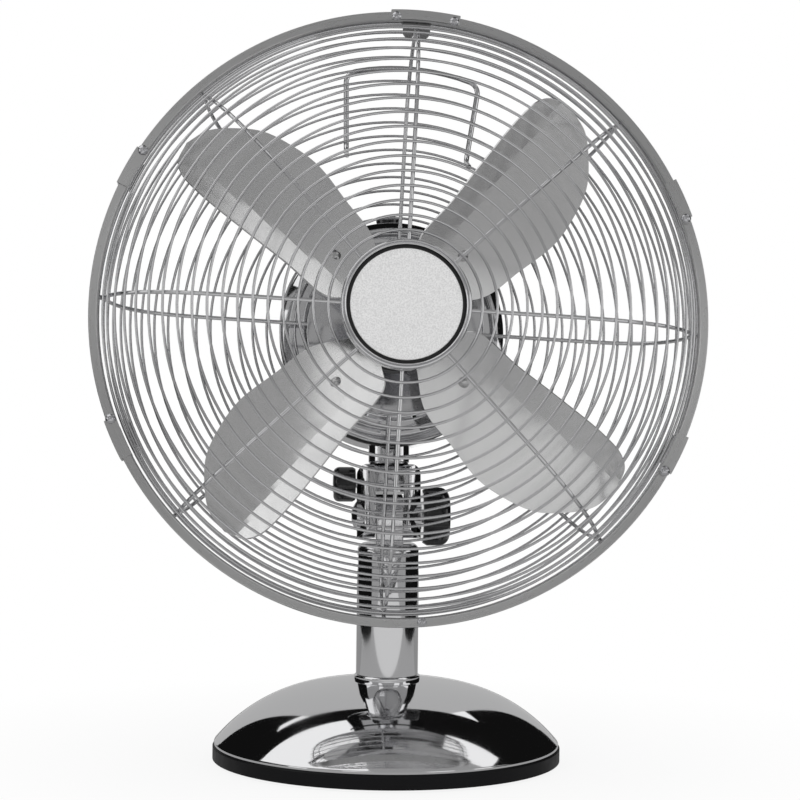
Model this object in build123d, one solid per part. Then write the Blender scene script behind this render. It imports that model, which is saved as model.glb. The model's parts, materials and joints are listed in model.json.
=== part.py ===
from build123d import *
import os
from math import asin, atan2, cos, degrees, hypot, pi, radians, sin, sqrt, tan

os.makedirs("parts", exist_ok=True)

# Oscillating desk fan with a chromed stand, a tilting neck and a wire guard.
# Frame: origin on the floor at the middle of the base, +Z up, the air leaves towards -Y.

# ---------------------------------------------------------------------------
# Driving dimensions (millimetres, degrees)
# ---------------------------------------------------------------------------

# Clearances
running = 0.05            # radial, of a pin that turns in its bore
slip = 0.05               # between two pieces that are only pushed together
gap = 0.3                 # between faces that move past each other

# Base
base_radius = 102.2
skirt_height = 8.2
skirt_wall = 3.0
skirt_ledge = 12.0        # inward reach of the ledge that the base plate is screwed to
skirt_edge = 0.8          # chamfer of its top edge
foot_radius = 9.0
foot_height = 1.2         # how far the pads stand below the skirt
foot_plug = 3.5
foot_circle = 72.0
feet = 4
plate_thickness = 1.2
dome_wall = 1.0
dome_inset = 0.8          # step between the skirt and the dome
dome_lip = 1.8            # upright edge of the dome above the skirt
dome_crown_z = 48.5
dome_crown_radius = 240.0
dome_crown_reach = 45.0   # radius at which the flat crown turns into the shoulder
ballast_inner = 28.0
ballast_outer = 62.0
ballast_thickness = 9.0
screw_radius = 1.9
screw_head_radius = 3.6
screw_head_height = 1.6
base_screw_length = 5.0
base_screw_circle = 92.0
base_screw_turn = 22.5    # from the line across the fan, so that they miss the feet

# Neck
neck_radius = 18.2
neck_wall = 1.5
collar_radius = 19.6
collar_top = 50.4
shoulder_height = 7.0
shoulder_radius = 5.0
spigot_length = 20.0
stud_radius = 5.0
stud_bore = 3.2
stud_grip = 10.0          # how deep the stud is screwed into the cast head
nut_radius = 9.5
nut_height = 6.0
nut_washer = 1.5

# Speed switch on the back of the dome
switch_reach = 72.0       # distance behind the neck
switch_side = 24.0
switch_depth = 14.0
switch_drop = 1.8         # of the switch body under the curved dome
bushing_radius = 4.5
switch_shaft_radius = 3.0
switch_shaft_length = 11.0
speed_knob_radius = 11.0
speed_knob_height = 12.0
speed_knob_lift = 1.2

# Cord inlet at the back of the skirt
gland_radius = 3.0
gland_flange = 4.0
gland_bore = 2.2
gland_stand_out = 1.2

# Tilt head: the pivot is the origin of everything that tilts
axis_height = 248.0       # of the fan axis above the floor, with the head level
pivot_drop = 104.5        # of the pivot below the fan axis
pivot_z = axis_height - pivot_drop
neck_drop = 22.5          # of the tube's end below the pivot
neck_top = pivot_z - neck_drop
rest_tilt = 7.0           # the head looks up by this much at rest
tongue_width = 16.0
eye_radius = 13.0
fork_width = 38.0
fork_depth = 26.0
fork_top = 30.5           # above the pivot
fork_corner = 7.0
bolt_radius = 4.0
bolt_head_radius = 8.5
bolt_head_height = 3.2
tilt_knob_radius = 17.2
tilt_knob_length = 16.0
tilt_knob_lobes = 8
lock_z = 18.6             # of the spindle lock screw, above the pivot
lock_knob_radius = 10.3
lock_knob_length = 13.0
lock_knob_lobes = 6
lock_screw_radius = 2.0
knob_stand_off = 0.8
knob_grip = 9.0
spindle_radius = 6.0
spindle_seat = 15.5       # depth of the spindle in the fork
spindle_length = 37.0
washer_radius = 11.5
washer_thickness = 1.0

# Head: the fan axis is level here, and everything is tilted at the end
ring_forward = 100.0      # from the spindle axis to the plane of the guard ring
ring_radius = 170.0
ring_wall = 0.8
ring_face = 5.4           # width of the ring's front face
ring_width = 11.5
ring_front = 6.0          # how far the ring's front face is in front of its plane
guard_roll = 3.0          # the guards sit this much clockwise, seen from the front

# Wire guards
spokes = 8
hoop_wire = 1.5
spoke_wire = 2.2
rim_wire = 2.8
hoop_pitch = 8.0
fine_radius = 118.0       # hoops from here on get three flats per spoke, smaller ones two
front_depth = 42.0        # of the front guard's face in front of the ring plane
front_first = 41.0        # radius of its innermost hoop
front_wall_radius = ring_radius - 7.0
front_flat = 82.0         # radius of the flat middle of its bowl
front_fullness = 3.0
front_corner = 1.7
rear_depth = 54.0
rear_first = 49.0
rear_wall_radius = ring_radius - 6.0
rear_flat = 90.0
rear_fullness = 4.2
rear_corner = 1.87
rim_radius = ring_radius - 4.0
rear_plate_inner = 17.0
rear_plate_outer = 50.0
rear_plate_thickness = 1.2
nut_depth = 8.0           # of the big nut in front of the plate
nut_wall = 8.0

# Carrying handle on the back of the rear guard
handle_wire = 3.0
handle_width = 79.0
handle_hoop = 7           # number of the rear guard's hoop that its feet stand on
handle_high = ring_radius - 10.0      # of the middle of its bar above the fan axis
handle_arch = 6.0         # by which the ends of its arched bar are lower than the middle
handle_taper = 4.0        # by which each foot is closer to the middle than the bar's end
handle_turn = 1.5         # degrees clockwise from the top of the guards
handle_reach = 26.0       # how far it stands behind the guard
handle_bend = 8.0

# Badge in the middle of the front guard
badge_radius = 34.8
badge_disc_radius = 29.8
badge_height = 8.0
badge_disc_thickness = 1.2
badge_recess = 1.8
badge_wall = 1.2
badge_post_radius = 3.5

# Ring joint and latches
strap_span = 11.0         # degrees of the ring that the strap covers
strap_angle = 1.5         # clockwise from the guard's own top
strap_thickness = 1.0
ring_screw_radius = 1.5
ring_screw_head = 2.6
latch_angles = (67.5, 117.2, 246.6, 299.2)
latch_span = 7.6          # degrees from its rivet to its free end
latch_thickness = 0.9
latch_lug = 3.0
latch_hook = 3.2

bracket_width = 15.0
bracket_height = 7.0
bracket_wall = 1.0

# Motor
motor_radius = 64.0
motor_front = 43.0        # distance of its front face in front of the spindle axis
cover_joint = 22.0        # where the front and rear covers meet
cover_back = 50.0
cover_wall = 1.0
cover_round = 26.0
slot_pitch = 8.0          # of the cooling slots in its back
slot_width = 3.0
slot_length = 40.0
band_radius = 65.4
band_width = 5.0
stator_outer = 43.0
stator_inner = 24.5
stator_length = 26.0
stator_front = 30.0
winding_inner = 27.0
winding_outer = 39.0
winding_length = 7.0
air_gap = 0.5
shaft_radius = 4.0
bearing_radius = 8.0
bearing_nose = 2.0        # of a bearing in front of its end plate
shield_thickness = 4.0
shield_radius = 48.0
shield_shoulder = 24.0    # radius of the step that the guard plate is pulled against

# Rotor and blades
blade_count = 4
blade_plane = 92.0        # distance of the blades in front of the spindle axis
blade_angle = 44.0        # clockwise from up, of the first blade
blade_thickness = 1.2
blade_tip = ring_radius - 19.0
blade_root = 26.0
blade_pitch_root = 34.0
blade_pitch_tip = 21.0
blade_camber = 4.5
blade_sheet_width = 96.0  # of the sheet that the blades are cut from
crease_root = 11.2        # of the crease from the blade's middle line, at its root
crease_tip = 22.1         # the same at its tip
crease_bend = 10.0        # extra turn of the narrow strip beyond the crease
# Outline of one blade, pointing up, as shares of blade_tip: across, along
blade_heel = (-0.073, 0.079)
blade_trailing = ((-0.146, 0.238), (-0.162, 0.430), (-0.185, 0.629), (-0.201, 0.828),
                  (-0.195, 0.921), (-0.166, 0.970))
blade_end = (-0.093, 1.002)
blade_leading = ((0.0, 0.987), (0.083, 0.927), (0.152, 0.848), (0.195, 0.728), (0.210, 0.616),
                 (0.187, 0.450), (0.162, 0.298))
hub_radius = 15.0
hub_length = 22.0
arm_thickness = 1.6
arm_width = 20.0
arm_reach = 58.0
rivet_circle = 50.0
rivet_radius = 1.7
rivet_head = 3.2
hub_nut_radius = 9.0
hub_nut_length = 14.0

# Oscillation gear under the motor's back end
boss_radius = 12.0
worm_radius = 5.2
worm_length = 9.0
stem_grip = 10.0          # depth of the pull knob's stem in the gearbox
case_width = 40.0
case_back = 32.0
case_low = 30.0           # below the fan axis
case_high = 16.0          # above the fan axis
knob_stem_radius = 2.6
pull_knob_radius = 7.0
pull_knob_height = 13.0


# ---------------------------------------------------------------------------
# Helpers
# ---------------------------------------------------------------------------

def outline(points):
    """A flat face with straight edges."""
    return make_face(Polyline(*points, close=True))


def turned_z(face):
    """A solid turned about the Z axis; the face is drawn as radius, height."""
    return revolve(Plane.XZ * face, Axis.Z)


def turned_y(face):
    """A solid turned about the Y axis; the face is drawn as radius, Y."""
    return revolve(face, Axis.Y)


def ring_face_of(inner, outer, low, high):
    """Rectangular section of a ring, drawn as radius, height."""
    return outline([(inner, low), (outer, low), (outer, high), (inner, high)])


def rod_z(radius, low, high):
    """A round rod along Z."""
    return Pos(0, 0, low) * extrude(Circle(radius), high - low)


def rod_y(radius, front, back):
    """A round rod along Y."""
    return Pos(0, front, 0) * extrude(Plane.XZ * Circle(radius), back - front, dir=(0, 1, 0))


def rod_x(radius, left, right):
    """A round rod along X."""
    return Pos(left, 0, 0) * extrude(Plane.YZ * Circle(radius), right - left, dir=(1, 0, 0))


def pin_z(radius, low, high):
    """A small fastener's shank, head or hole along Z, with eight flats."""
    return Pos(0, 0, low) * extrude(RegularPolygon(radius, 8), high - low)


def pin_y(radius, front, back):
    """The same along Y."""
    flats = Plane.XZ * RegularPolygon(radius, 8)
    return Pos(0, front, 0) * extrude(flats, back - front, dir=(0, 1, 0))


def on_circle(radius, angle):
    """X and Z of a point that is angle degrees clockwise from up, seen from the front."""
    return radius * sin(radians(angle)), radius * cos(radians(angle))


def write(name, shape):
    export_step(shape, "parts/" + name + ".step")


# Everything that tilts is drawn level, with the pivot's height as it is, and turned here.
tilted = Pos(0, 0, pivot_z) * Rot(-rest_tilt, 0, 0) * Pos(0, 0, -pivot_z)
# Fan-axis frame: origin at the ring's centre, Y runs back along the shaft.
fan_axis = tilted * Pos(0, -ring_forward, axis_height)
# The same, rolled as the guards are.
guard_axis = fan_axis * Rot(0, guard_roll, 0)


# ---------------------------------------------------------------------------
# Base
# ---------------------------------------------------------------------------

skirt_low = foot_height
skirt_top = skirt_low + skirt_height
plate_low = skirt_low
plate_radius = base_radius - skirt_wall - gap
ledge_low = plate_low + plate_thickness
ledge_inner = base_radius - skirt_wall - skirt_ledge
dome_edge = base_radius - dome_inset
crown_slope = asin(dome_crown_reach / dome_crown_radius)


def crown_height(radius, inset=0.0):
    """Height of the dome's crown at a radius inside its flat part."""
    ball = dome_crown_radius - inset
    return dome_crown_z - dome_crown_radius + sqrt(ball ** 2 - radius ** 2)


def dome_body(inset, floor):
    """The solid under the dome's surface, shrunk by inset, down to floor."""
    joint = (dome_crown_reach - inset * sin(crown_slope),
             crown_height(dome_crown_reach) - inset * cos(crown_slope))
    edge = (dome_edge - inset, skirt_top + dome_lip)
    top = (0, dome_crown_z - inset)
    middle_radius = joint[0] / 2
    middle = (middle_radius, crown_height(middle_radius, inset))
    crown = ThreePointArc(top, middle, joint)
    shoulder = TangentArc(joint, edge, tangent=(cos(crown_slope), -sin(crown_slope)))
    sides = Polyline(edge, (edge[0], floor), (0, floor), top)
    return turned_z(make_face(crown + shoulder + sides))


def shoulder_place(distance):
    """Height and slope of the dome's shoulder at a distance behind the neck."""
    start = (dome_crown_reach, crown_height(dome_crown_reach))
    run = dome_edge - start[0]
    fall = start[1] - skirt_top - dome_lip
    bend = (run ** 2 + fall ** 2) / (2 * (fall * cos(crown_slope) - run * sin(crown_slope)))
    slope = asin(sin(crown_slope) + (distance - start[0]) / bend)
    height = start[1] - bend * (cos(crown_slope) - cos(slope))
    return height, degrees(slope)


switch_z, switch_slope = shoulder_place(switch_reach)
switch_place = Pos(0, switch_reach, switch_z) * Rot(-switch_slope, 0, 0)


def base_dome():
    # Pressed steel, open below, with a hole for the neck stud and one for the switch.
    shell = dome_body(0, skirt_top) - dome_body(dome_wall, skirt_top - 1)
    shell -= rod_z(stud_radius + slip, dome_crown_z / 2, dome_crown_z + 1)
    return shell - switch_place * rod_z(bushing_radius + slip, -3 * dome_wall, 3 * dome_wall)


def base_skirt():
    # Moulded ring with an inward ledge; the dome stands on its top edge.
    wall = base_radius - skirt_wall
    profile = outline([
        (wall, skirt_low), (base_radius, skirt_low), (base_radius, skirt_top - skirt_edge),
        (base_radius - skirt_edge, skirt_top), (ledge_inner, skirt_top),
        (ledge_inner, ledge_low), (wall, ledge_low),
    ])
    ring = turned_z(profile)
    for x, y in base_screw_places():
        hole = pin_z(screw_radius + slip, ledge_low - 1, ledge_low + base_screw_length)
        ring -= Pos(x, y, 0) * hole
    inlet = Pos(0, 0, gland_z) * rod_y(gland_radius + slip, ledge_inner - 1, base_radius + 1)
    return ring - inlet


def base_screw_places():
    """Screws between the feet and clear of the cord inlet."""
    places = []
    for index in range(feet):
        angle = radians(360 / feet * index + base_screw_turn)
        places.append((base_screw_circle * cos(angle), base_screw_circle * sin(angle)))
    return places


def foot_places():
    places = []
    for index in range(feet):
        angle = radians(360 / feet * (index + 0.5))
        places.append((foot_circle * cos(angle), foot_circle * sin(angle)))
    return places


def base_plate():
    # Steel sheet that closes the base from below.
    plate = rod_z(plate_radius, plate_low, plate_low + plate_thickness)
    for x, y in foot_places():
        plate -= Pos(x, y, 0) * pin_z(foot_radius / 2 + slip, plate_low - 1, plate_low + 3)
    for x, y in base_screw_places():
        plate -= Pos(x, y, 0) * pin_z(screw_radius + slip, plate_low - 1, plate_low + 3)
    return plate


def ballast_weight():
    # Cast-iron ring that keeps the fan from tipping forwards.
    low = plate_low + plate_thickness
    return turned_z(ring_face_of(ballast_inner, ballast_outer, low, low + ballast_thickness))


def rubber_feet():
    pads = []
    for x, y in foot_places():
        pad = rod_z(foot_radius, 0, plate_low)
        pad += pin_z(foot_radius / 2, plate_low, foot_plug)
        pads.append(Pos(x, y, 0) * pad)
    return Compound(children=pads)


def base_screws():
    screws = []
    for x, y in base_screw_places():
        screw = pin_z(screw_head_radius, plate_low - screw_head_height / 2, plate_low)
        screw += pin_z(screw_radius, plate_low, ledge_low + base_screw_length - gap)
        screws.append(Pos(x, y, 0) * screw)
    return Compound(children=screws)


gland_z = skirt_low + skirt_height / 2 + 0.4


def cord_gland():
    # Bush that lines the hole where the mains lead enters the skirt.
    bush = rod_y(gland_radius, ledge_inner, base_radius + gland_stand_out)
    bush += rod_y(gland_flange, base_radius + slip, base_radius + gland_stand_out)
    bush -= rod_y(gland_bore, ledge_inner - 1, base_radius + gland_stand_out + 1)
    return Pos(0, 0, gland_z) * bush


def speed_switch():
    # Rotary switch under the dome; its threaded bushing comes up through the dome.
    below = dome_wall + switch_drop
    body = Pos(0, 0, -below - switch_depth / 2) * Box(switch_side, switch_side, switch_depth)
    body += rod_z(bushing_radius, -below, speed_knob_lift - gap)
    body += rod_z(switch_shaft_radius, 0, switch_shaft_length)
    return switch_place * body


def speed_knob():
    # Round pointer knob with a raised grip bar.
    top = speed_knob_lift + speed_knob_height
    knob = rod_z(speed_knob_radius, speed_knob_lift, top - 5)
    bar = Pos(0, 0, top - 2.5) * Box(5, 2 * speed_knob_radius - 1, 5)
    knob += bar
    knob -= rod_z(switch_shaft_radius + running, 0, switch_shaft_length + gap)
    return switch_place * knob


# ---------------------------------------------------------------------------
# Neck
# ---------------------------------------------------------------------------

stud_top = neck_top - spigot_length + stud_grip
nut_top = crown_height(nut_radius) - dome_wall - nut_washer - 0.2
stud_low = nut_top - nut_height - 2


def neck_collar():
    # Turned ring between the dome's crown and the tube, hollowed to sit on the crown.
    ring = ring_face_of(stud_radius + 1, collar_radius, crown_height(collar_radius) - 1,
                        collar_top)
    solid = turned_z(ring)
    solid = chamfer(solid.edges().group_by(Axis.Z)[-1].sort_by(SortBy.RADIUS)[-1], 0.6)
    return solid - dome_body(-slip, skirt_top)


def neck_tube():
    return turned_z(ring_face_of(neck_radius - neck_wall, neck_radius, collar_top, neck_top))


def neck_head():
    # Casting: a spigot in the tube, a rounded shoulder and the tongue of the tilt joint.
    bore = neck_radius - neck_wall - slip
    top = neck_top + shoulder_height
    points = Polyline((0, neck_top - spigot_length), (bore, neck_top - spigot_length),
                      (bore, neck_top), (neck_radius, neck_top),
                      (neck_radius, top - shoulder_radius))
    turn = CenterArc((neck_radius - shoulder_radius, top - shoulder_radius),
                     shoulder_radius, 0, 90)
    crown = Polyline((neck_radius - shoulder_radius, top), (0, top),
                     (0, neck_top - spigot_length))
    body = turned_z(make_face(points + turn + crown))
    slab = Box(tongue_width, 2 * eye_radius, pivot_z - top + 1)
    body += Pos(0, 0, (pivot_z + top - 1) / 2) * slab
    body += Pos(0, 0, pivot_z) * rod_x(eye_radius, -tongue_width / 2, tongue_width / 2)
    body -= Pos(0, 0, pivot_z) * rod_x(bolt_radius + running, -tongue_width, tongue_width)
    return body - rod_z(stud_radius + slip, neck_top - spigot_length - 1, stud_top + gap)


def neck_stud():
    # Hollow threaded rod that pulls head, tube, collar and dome together; wires run inside.
    return turned_z(ring_face_of(stud_bore, stud_radius, stud_low, stud_top))


def neck_nut():
    # Hexagon nut and washer under the dome.
    low = nut_top - nut_height
    nut = Pos(0, 0, low) * extrude(RegularPolygon(nut_radius, 6), nut_height)
    nut += rod_z(nut_radius + 3, nut_top, nut_top + nut_washer)
    return nut - rod_z(stud_radius + slip, low - 1, nut_top + nut_washer + 1)


# ---------------------------------------------------------------------------
# Tilt head (drawn level, with the pivot at pivot_z)
# ---------------------------------------------------------------------------

slot_half = tongue_width / 2 + gap
slot_top = eye_radius + 0.8


def yoke_fork():
    # Cast fork that hangs over the tongue; its top block holds the spindle.
    half = fork_width / 2
    front = Rectangle(fork_width, fork_top + eye_radius, align=(Align.CENTER, Align.MIN))
    front = Pos(0, -eye_radius) * front
    front = fillet(front.vertices().group_by(Axis.Y)[-1], fork_corner)
    front -= Pos(0, -eye_radius - 1) * Rectangle(2 * slot_half, eye_radius + 1 + slot_top,
                                                 align=(Align.CENTER, Align.MIN))
    side = Pos(0, fork_top / 2) * Rectangle(fork_depth, fork_top)
    side += Circle(eye_radius)
    block = extrude(Plane.XZ * front, fork_depth, both=True)
    block = block & extrude(Plane.YZ * side, half, both=True)
    block -= rod_x(bolt_radius + slip, -fork_width, fork_width)
    block -= rod_z(spindle_radius + slip, fork_top - spindle_seat, fork_top + 1)
    screw = Pos(0, 0, lock_z) * rod_x(lock_screw_radius + running, -fork_width, 0)
    return Pos(0, 0, pivot_z) * (block - screw)


def pivot_bolt():
    # Domed head on the left, plain through fork and tongue, thread for the knob on the right.
    left = -fork_width / 2
    right = fork_width / 2 + knob_stand_off + knob_grip
    bolt = rod_x(bolt_radius, left, right)
    dome = (bolt_head_radius ** 2 + bolt_head_height ** 2) / (2 * bolt_head_height)
    head = Pos(left - bolt_head_height + dome, 0, 0) * Sphere(dome)
    head = head & rod_x(bolt_head_radius, left - bolt_head_height - 1, left)
    return Pos(0, 0, pivot_z) * (bolt + head)


def lobed_knob(radius, length, lobes, bore):
    """A moulded hand knob with flutes between its lobes, drawn from x = 0 to length."""
    body = rod_x(radius, 0, length)
    body = chamfer(body.edges().group_by(Axis.X)[-1], 1.6)
    flute = radius * 0.22
    for index in range(lobes):
        angle = radians(360 / lobes * (index + 0.5))
        place = Pos(0, (radius + 0.35 * flute) * cos(angle), (radius + 0.35 * flute) * sin(angle))
        body -= place * rod_x(flute, -1, length + 1)
    return body - rod_x(bore + running, -1, knob_grip + gap)


def tilt_knob():
    knob = lobed_knob(tilt_knob_radius, tilt_knob_length, tilt_knob_lobes, bolt_radius)
    return Pos(fork_width / 2 + knob_stand_off, 0, pivot_z) * knob


def lock_knob():
    knob = lobed_knob(lock_knob_radius, lock_knob_length, lock_knob_lobes, lock_screw_radius)
    return Pos(-fork_width / 2 - knob_stand_off, 0, pivot_z + lock_z) * Rot(0, 0, 180) * knob


def lock_screw():
    # Its flat end bears on the spindle.
    left = -fork_width / 2 - knob_stand_off - knob_grip
    screw = rod_x(lock_screw_radius, left, -spindle_radius - gap)
    return Pos(0, 0, pivot_z + lock_z) * screw


spindle_low = pivot_z + fork_top - spindle_seat


def spindle():
    # Steel pin that the whole head swings on.
    return rod_z(spindle_radius, spindle_low + gap, spindle_low + spindle_length)


def thrust_washer():
    low = pivot_z + fork_top
    ring = ring_face_of(spindle_radius + slip, washer_radius, low, low + washer_thickness)
    return turned_z(ring)


# ---------------------------------------------------------------------------
# Wire guards (fan-axis frame: origin at the ring's centre, Y to the back)
# ---------------------------------------------------------------------------

def bowl_depth(radius, depth, flat_radius, wall_radius, fullness, corner):
    """Depth of a guard's bowl at a radius: flat in the middle, steep at the wall."""
    across = (radius - flat_radius) / (wall_radius - flat_radius)
    share = min(max(across, 0.0), 1.0) ** fullness
    return depth * (1 - share) ** (1 / corner)


def front_bowl(radius):
    return bowl_depth(radius, front_depth, front_flat, front_wall_radius, front_fullness,
                      front_corner)


def rear_bowl(radius):
    return bowl_depth(radius, rear_depth, rear_flat, rear_wall_radius, rear_fullness,
                      rear_corner)


def hoop_radii(bowl, first, wall_radius):
    """Radii of hoops that are evenly spaced along the bowl, out to its wall."""
    radii = [first]
    radius = first
    step = 0.02
    travelled = 0.0
    while radius < wall_radius - 0.5:
        travelled += hypot(step, bowl(radius + step) - bowl(radius))
        radius += step
        if travelled >= hoop_pitch:
            radii.append(radius)
            travelled = 0.0
    return radii


def hoop(radius, y, slope, wire, side):
    """One ring of wire as a many-sided hoop; it lies on every spoke with a whole flat."""
    sides = spokes * (2 if radius < fine_radius else 3)
    corners = []
    for along, across in ((-1, -side), (1, -side), (0, side)):
        reach = radius + wire / 2 * (along * cos(slope) - across * sin(slope))
        place = y + wire / 2 * (along * sin(slope) + across * cos(slope))
        loop = []
        for index in range(sides):
            turn = 2 * pi * (index + 0.5) / sides
            corner = reach / cos(pi / sides)
            loop.append((corner * cos(turn), place, corner * sin(turn)))
        corners.append(loop)
    flats = []
    for index in range(sides):
        after = (index + 1) % sides
        for low, high in ((0, 1), (1, 2), (2, 0)):
            flats.append(Face(Wire.make_polygon([
                corners[low][index], corners[high][index],
                corners[high][after], corners[low][after]])))
    return Solid(Shell(flats))


def meet(first, second):
    """Where two lines cross, each given as radius, Y and slope; halfway if they are one."""
    x1, y1, slope1 = first
    x2, y2, slope2 = second
    turn = sin(slope2 - slope1)
    if abs(turn) < 1e-9:
        return (x1 + x2) / 2, (y1 + y2) / 2
    travel = ((x2 - x1) * sin(slope2) - (y2 - y1) * cos(slope2)) / turn
    return x1 + travel * cos(slope1), y1 + travel * sin(slope1)


def spoke(seats, inner_end, outer_end, side):
    """A wire in the X-Y half plane that every hoop lies on with a whole flat."""
    edges = []
    for depth in (0, spoke_wire):
        lines = []
        for radius, y, slope, wire in seats:
            away = wire / 2 + depth
            lines.append((radius + side * away * sin(slope), y - side * away * cos(slope), slope))
        start, height, slope = lines[0]
        points = [(inner_end, height + (inner_end - start) * tan(slope))]
        for first, second in zip(lines, lines[1:]):
            points.append(meet(first, second))
        points.append((outer_end, lines[-1][1]))
        edges.append(points)
    return extrude(outline(edges[0] + edges[1][::-1]), spoke_wire / 2, both=True)


def wire_guard(bowl, side, first, wall_radius, inner_end, rim_y, inner_hoops):
    """Hoops welded on the outside of radial spokes; side is -1 in front, 1 at the back."""
    seats = []
    for radius in inner_hoops + hoop_radii(bowl, first, wall_radius):
        rise = (bowl(radius + 0.05) - bowl(radius - 0.05)) / 0.1
        seats.append((radius, side * bowl(radius), atan2(side * rise, 1), hoop_wire))
    seats.append((rim_radius, rim_y, 0.0, rim_wire))
    one = spoke(seats, inner_end, rim_radius, side)
    pieces = []
    for index in range(spokes):
        pieces.append(Rot(0, 360 / spokes * index, 0) * one)
    for radius, y, slope, wire in seats:
        pieces.append(hoop(radius, y, slope, wire, side))
    return pieces


front_rim_y = -ring_front + ring_wall + slip + rim_wire / 2
rear_rim_y = front_rim_y + rim_wire + 2 * spoke_wire + gap
badge_hoop = badge_radius - 2.5


def front_guard():
    pieces = wire_guard(front_bowl, -1, front_first, front_wall_radius, badge_hoop - 1,
                        front_rim_y, [badge_hoop])
    return guard_axis * pieces[0].fuse(*pieces[1:])


def rear_guard():
    # The spokes end on the mounting plate that the motor's neck goes through.
    pieces = wire_guard(rear_bowl, 1, rear_first, rear_wall_radius, rear_plate_outer - 6,
                        rear_rim_y, [])
    face = rear_bowl(rear_first) - hoop_wire / 2 - spoke_wire - rear_plate_thickness
    plate = turned_y(ring_face_of(rear_plate_inner, rear_plate_outer, face,
                                  face + rear_plate_thickness))
    return guard_axis * pieces[0].fuse(*pieces[1:], plate)


# ---------------------------------------------------------------------------
# What the guards carry
# ---------------------------------------------------------------------------

def bent_wire(points, bend, wire):
    """Wire of six flats along points, with the same bend at every corner."""
    path = FilletPolyline(*points, radius=bend)
    start = path @ 0
    return sweep(Plane(origin=start, z_dir=path % 0) * RegularPolygon(wire / 2, 6), path=path)


def carry_handle():
    # Wire loop behind the top of the rear guard, its two feet welded to a hoop.
    half = handle_width / 2
    foot = half - handle_taper
    seat = hoop_radii(rear_bowl, rear_first, rear_wall_radius)[handle_hoop]
    low = sqrt(seat ** 2 - foot ** 2)
    front = rear_bowl(seat) + hoop_wire / 2 + slip
    back = rear_depth + handle_reach
    bar = []
    for share in (-1, -0.5, 0, 0.5, 1):
        bar.append((share * half, back, handle_high - handle_arch * share ** 2))
    loop = bent_wire([
        (-foot, front, low), (-foot, back, low + handle_bend), *bar,
        (foot, back, low + handle_bend), (foot, front, low),
    ], handle_bend, handle_wire)
    return guard_axis * Rot(0, handle_turn, 0) * loop


def guard_ring():
    # Rolled channel that closes over both rims: a narrow front face and a wide band.
    front = -ring_front
    profile = outline([
        (ring_radius - ring_face, front), (ring_radius - 0.6, front),
        (ring_radius, front + 0.6), (ring_radius, front + ring_width),
        (ring_radius - ring_wall, front + ring_width),
        (ring_radius - ring_wall, front + ring_wall),
        (ring_radius - ring_face, front + ring_wall),
    ])
    ring = turned_y(profile)
    split = Box(1.2, 4 * ring_width, 2 * ring_face + 2)
    ring -= Rot(0, strap_angle, 0) * Pos(0, 0, ring_radius - ring_face / 2) * split
    for x, z in ring_screw_places():
        ring -= Pos(x, 0, z) * pin_y(ring_screw_radius + slip, front - 1, front + 1)
    return guard_axis * ring


screw_line = ring_radius - ring_face / 2
strap_ends = (strap_angle - strap_span / 2, strap_angle + strap_span / 2)
safety_screw_angle = 173.0


def ring_screw_places():
    places = []
    for angle in strap_ends + (safety_screw_angle,):
        places.append(on_circle(screw_line, angle))
    return places


def ring_strap():
    # Bent plate over the joint of the ring, held by a screw at each end.
    front = -ring_front - strap_thickness
    outer = ring_radius + strap_thickness + slip
    lug = ring_screw_head + 0.6
    profile = outline([
        (screw_line - lug / 2 - 0.4, front), (outer, front), (outer, front + ring_width),
        (ring_radius + slip, front + ring_width), (ring_radius + slip, -ring_front),
        (screw_line - lug / 2 - 0.4, -ring_front),
    ])
    strap = revolve(profile, Axis.Y, strap_span + 2)
    strap = Rot(0, strap_angle - strap_span / 2 - 1 - 90, 0) * strap
    for x, z in ring_screw_places()[:2]:
        strap -= Pos(x, 0, z) * pin_y(ring_screw_radius + slip, front - 1, 0)
    return guard_axis * strap


def ring_screws():
    # Round-headed screws: two through the strap, one lower down that secures the guard.
    screws = []
    for index, (x, z) in enumerate(ring_screw_places()):
        face = -ring_front - (strap_thickness if index < 2 else 0)
        screw = pin_y(ring_screw_head, face - 1.4, face)
        screw += pin_y(ring_screw_radius, face, front_rim_y - rim_wire / 2 - slip)
        screws.append(Pos(x, 0, z) * screw)
    return guard_axis * Compound(children=screws)


def rim_bracket():
    # Pressed saddle under both rims at the top; it straddles the spokes, joined in front
    # of them, and keeps the two guards in register.
    outer = rim_radius - rim_wire / 2 - slip
    inner = outer - bracket_height
    half = spoke_wire + gap / 2 + bracket_wall
    face = Pos(0, (outer + inner) / 2) * Rectangle(bracket_width, outer - inner)
    face = fillet(face.vertices().group_by(Axis.Y)[0], 3)
    body = extrude(Plane.XZ * face, half, both=True)
    corridor = spoke_wire + 2 * gap
    body -= Pos(0, bracket_wall - slip, outer) * Box(corridor, 2 * half, 4 * ring_face)
    body -= Pos(0, 0, inner) * Box(corridor, 4 * half, 2 * (bracket_height - 2))
    return guard_axis * body


badge_front = -front_depth - hoop_wire / 2 - badge_height
hoop_face = -front_bowl(badge_hoop) - hoop_wire / 2


def badge_rim():
    # Spun cup with a rolled bead; its edge stands on the innermost hoop.
    profile = outline([
        (badge_radius - badge_wall, hoop_face), (badge_radius - 4, hoop_face),
        (badge_radius - 4, badge_front + 4.2), (badge_disc_radius - 1, badge_front + 4.2),
        (badge_disc_radius - 1, badge_front + badge_recess + badge_disc_thickness),
        (badge_disc_radius + slip, badge_front + badge_recess + badge_disc_thickness),
        (badge_disc_radius + slip, badge_front + 1.4), (badge_disc_radius + 0.9, badge_front + 0.4),
        (badge_disc_radius + 2.0, badge_front + 1.6), (badge_disc_radius + 3.0, badge_front),
        (badge_radius - 0.9, badge_front + 0.2), (badge_radius, badge_front + 1.6),
        (badge_radius, hoop_face),
    ])
    return fan_axis * turned_y(profile)


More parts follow.
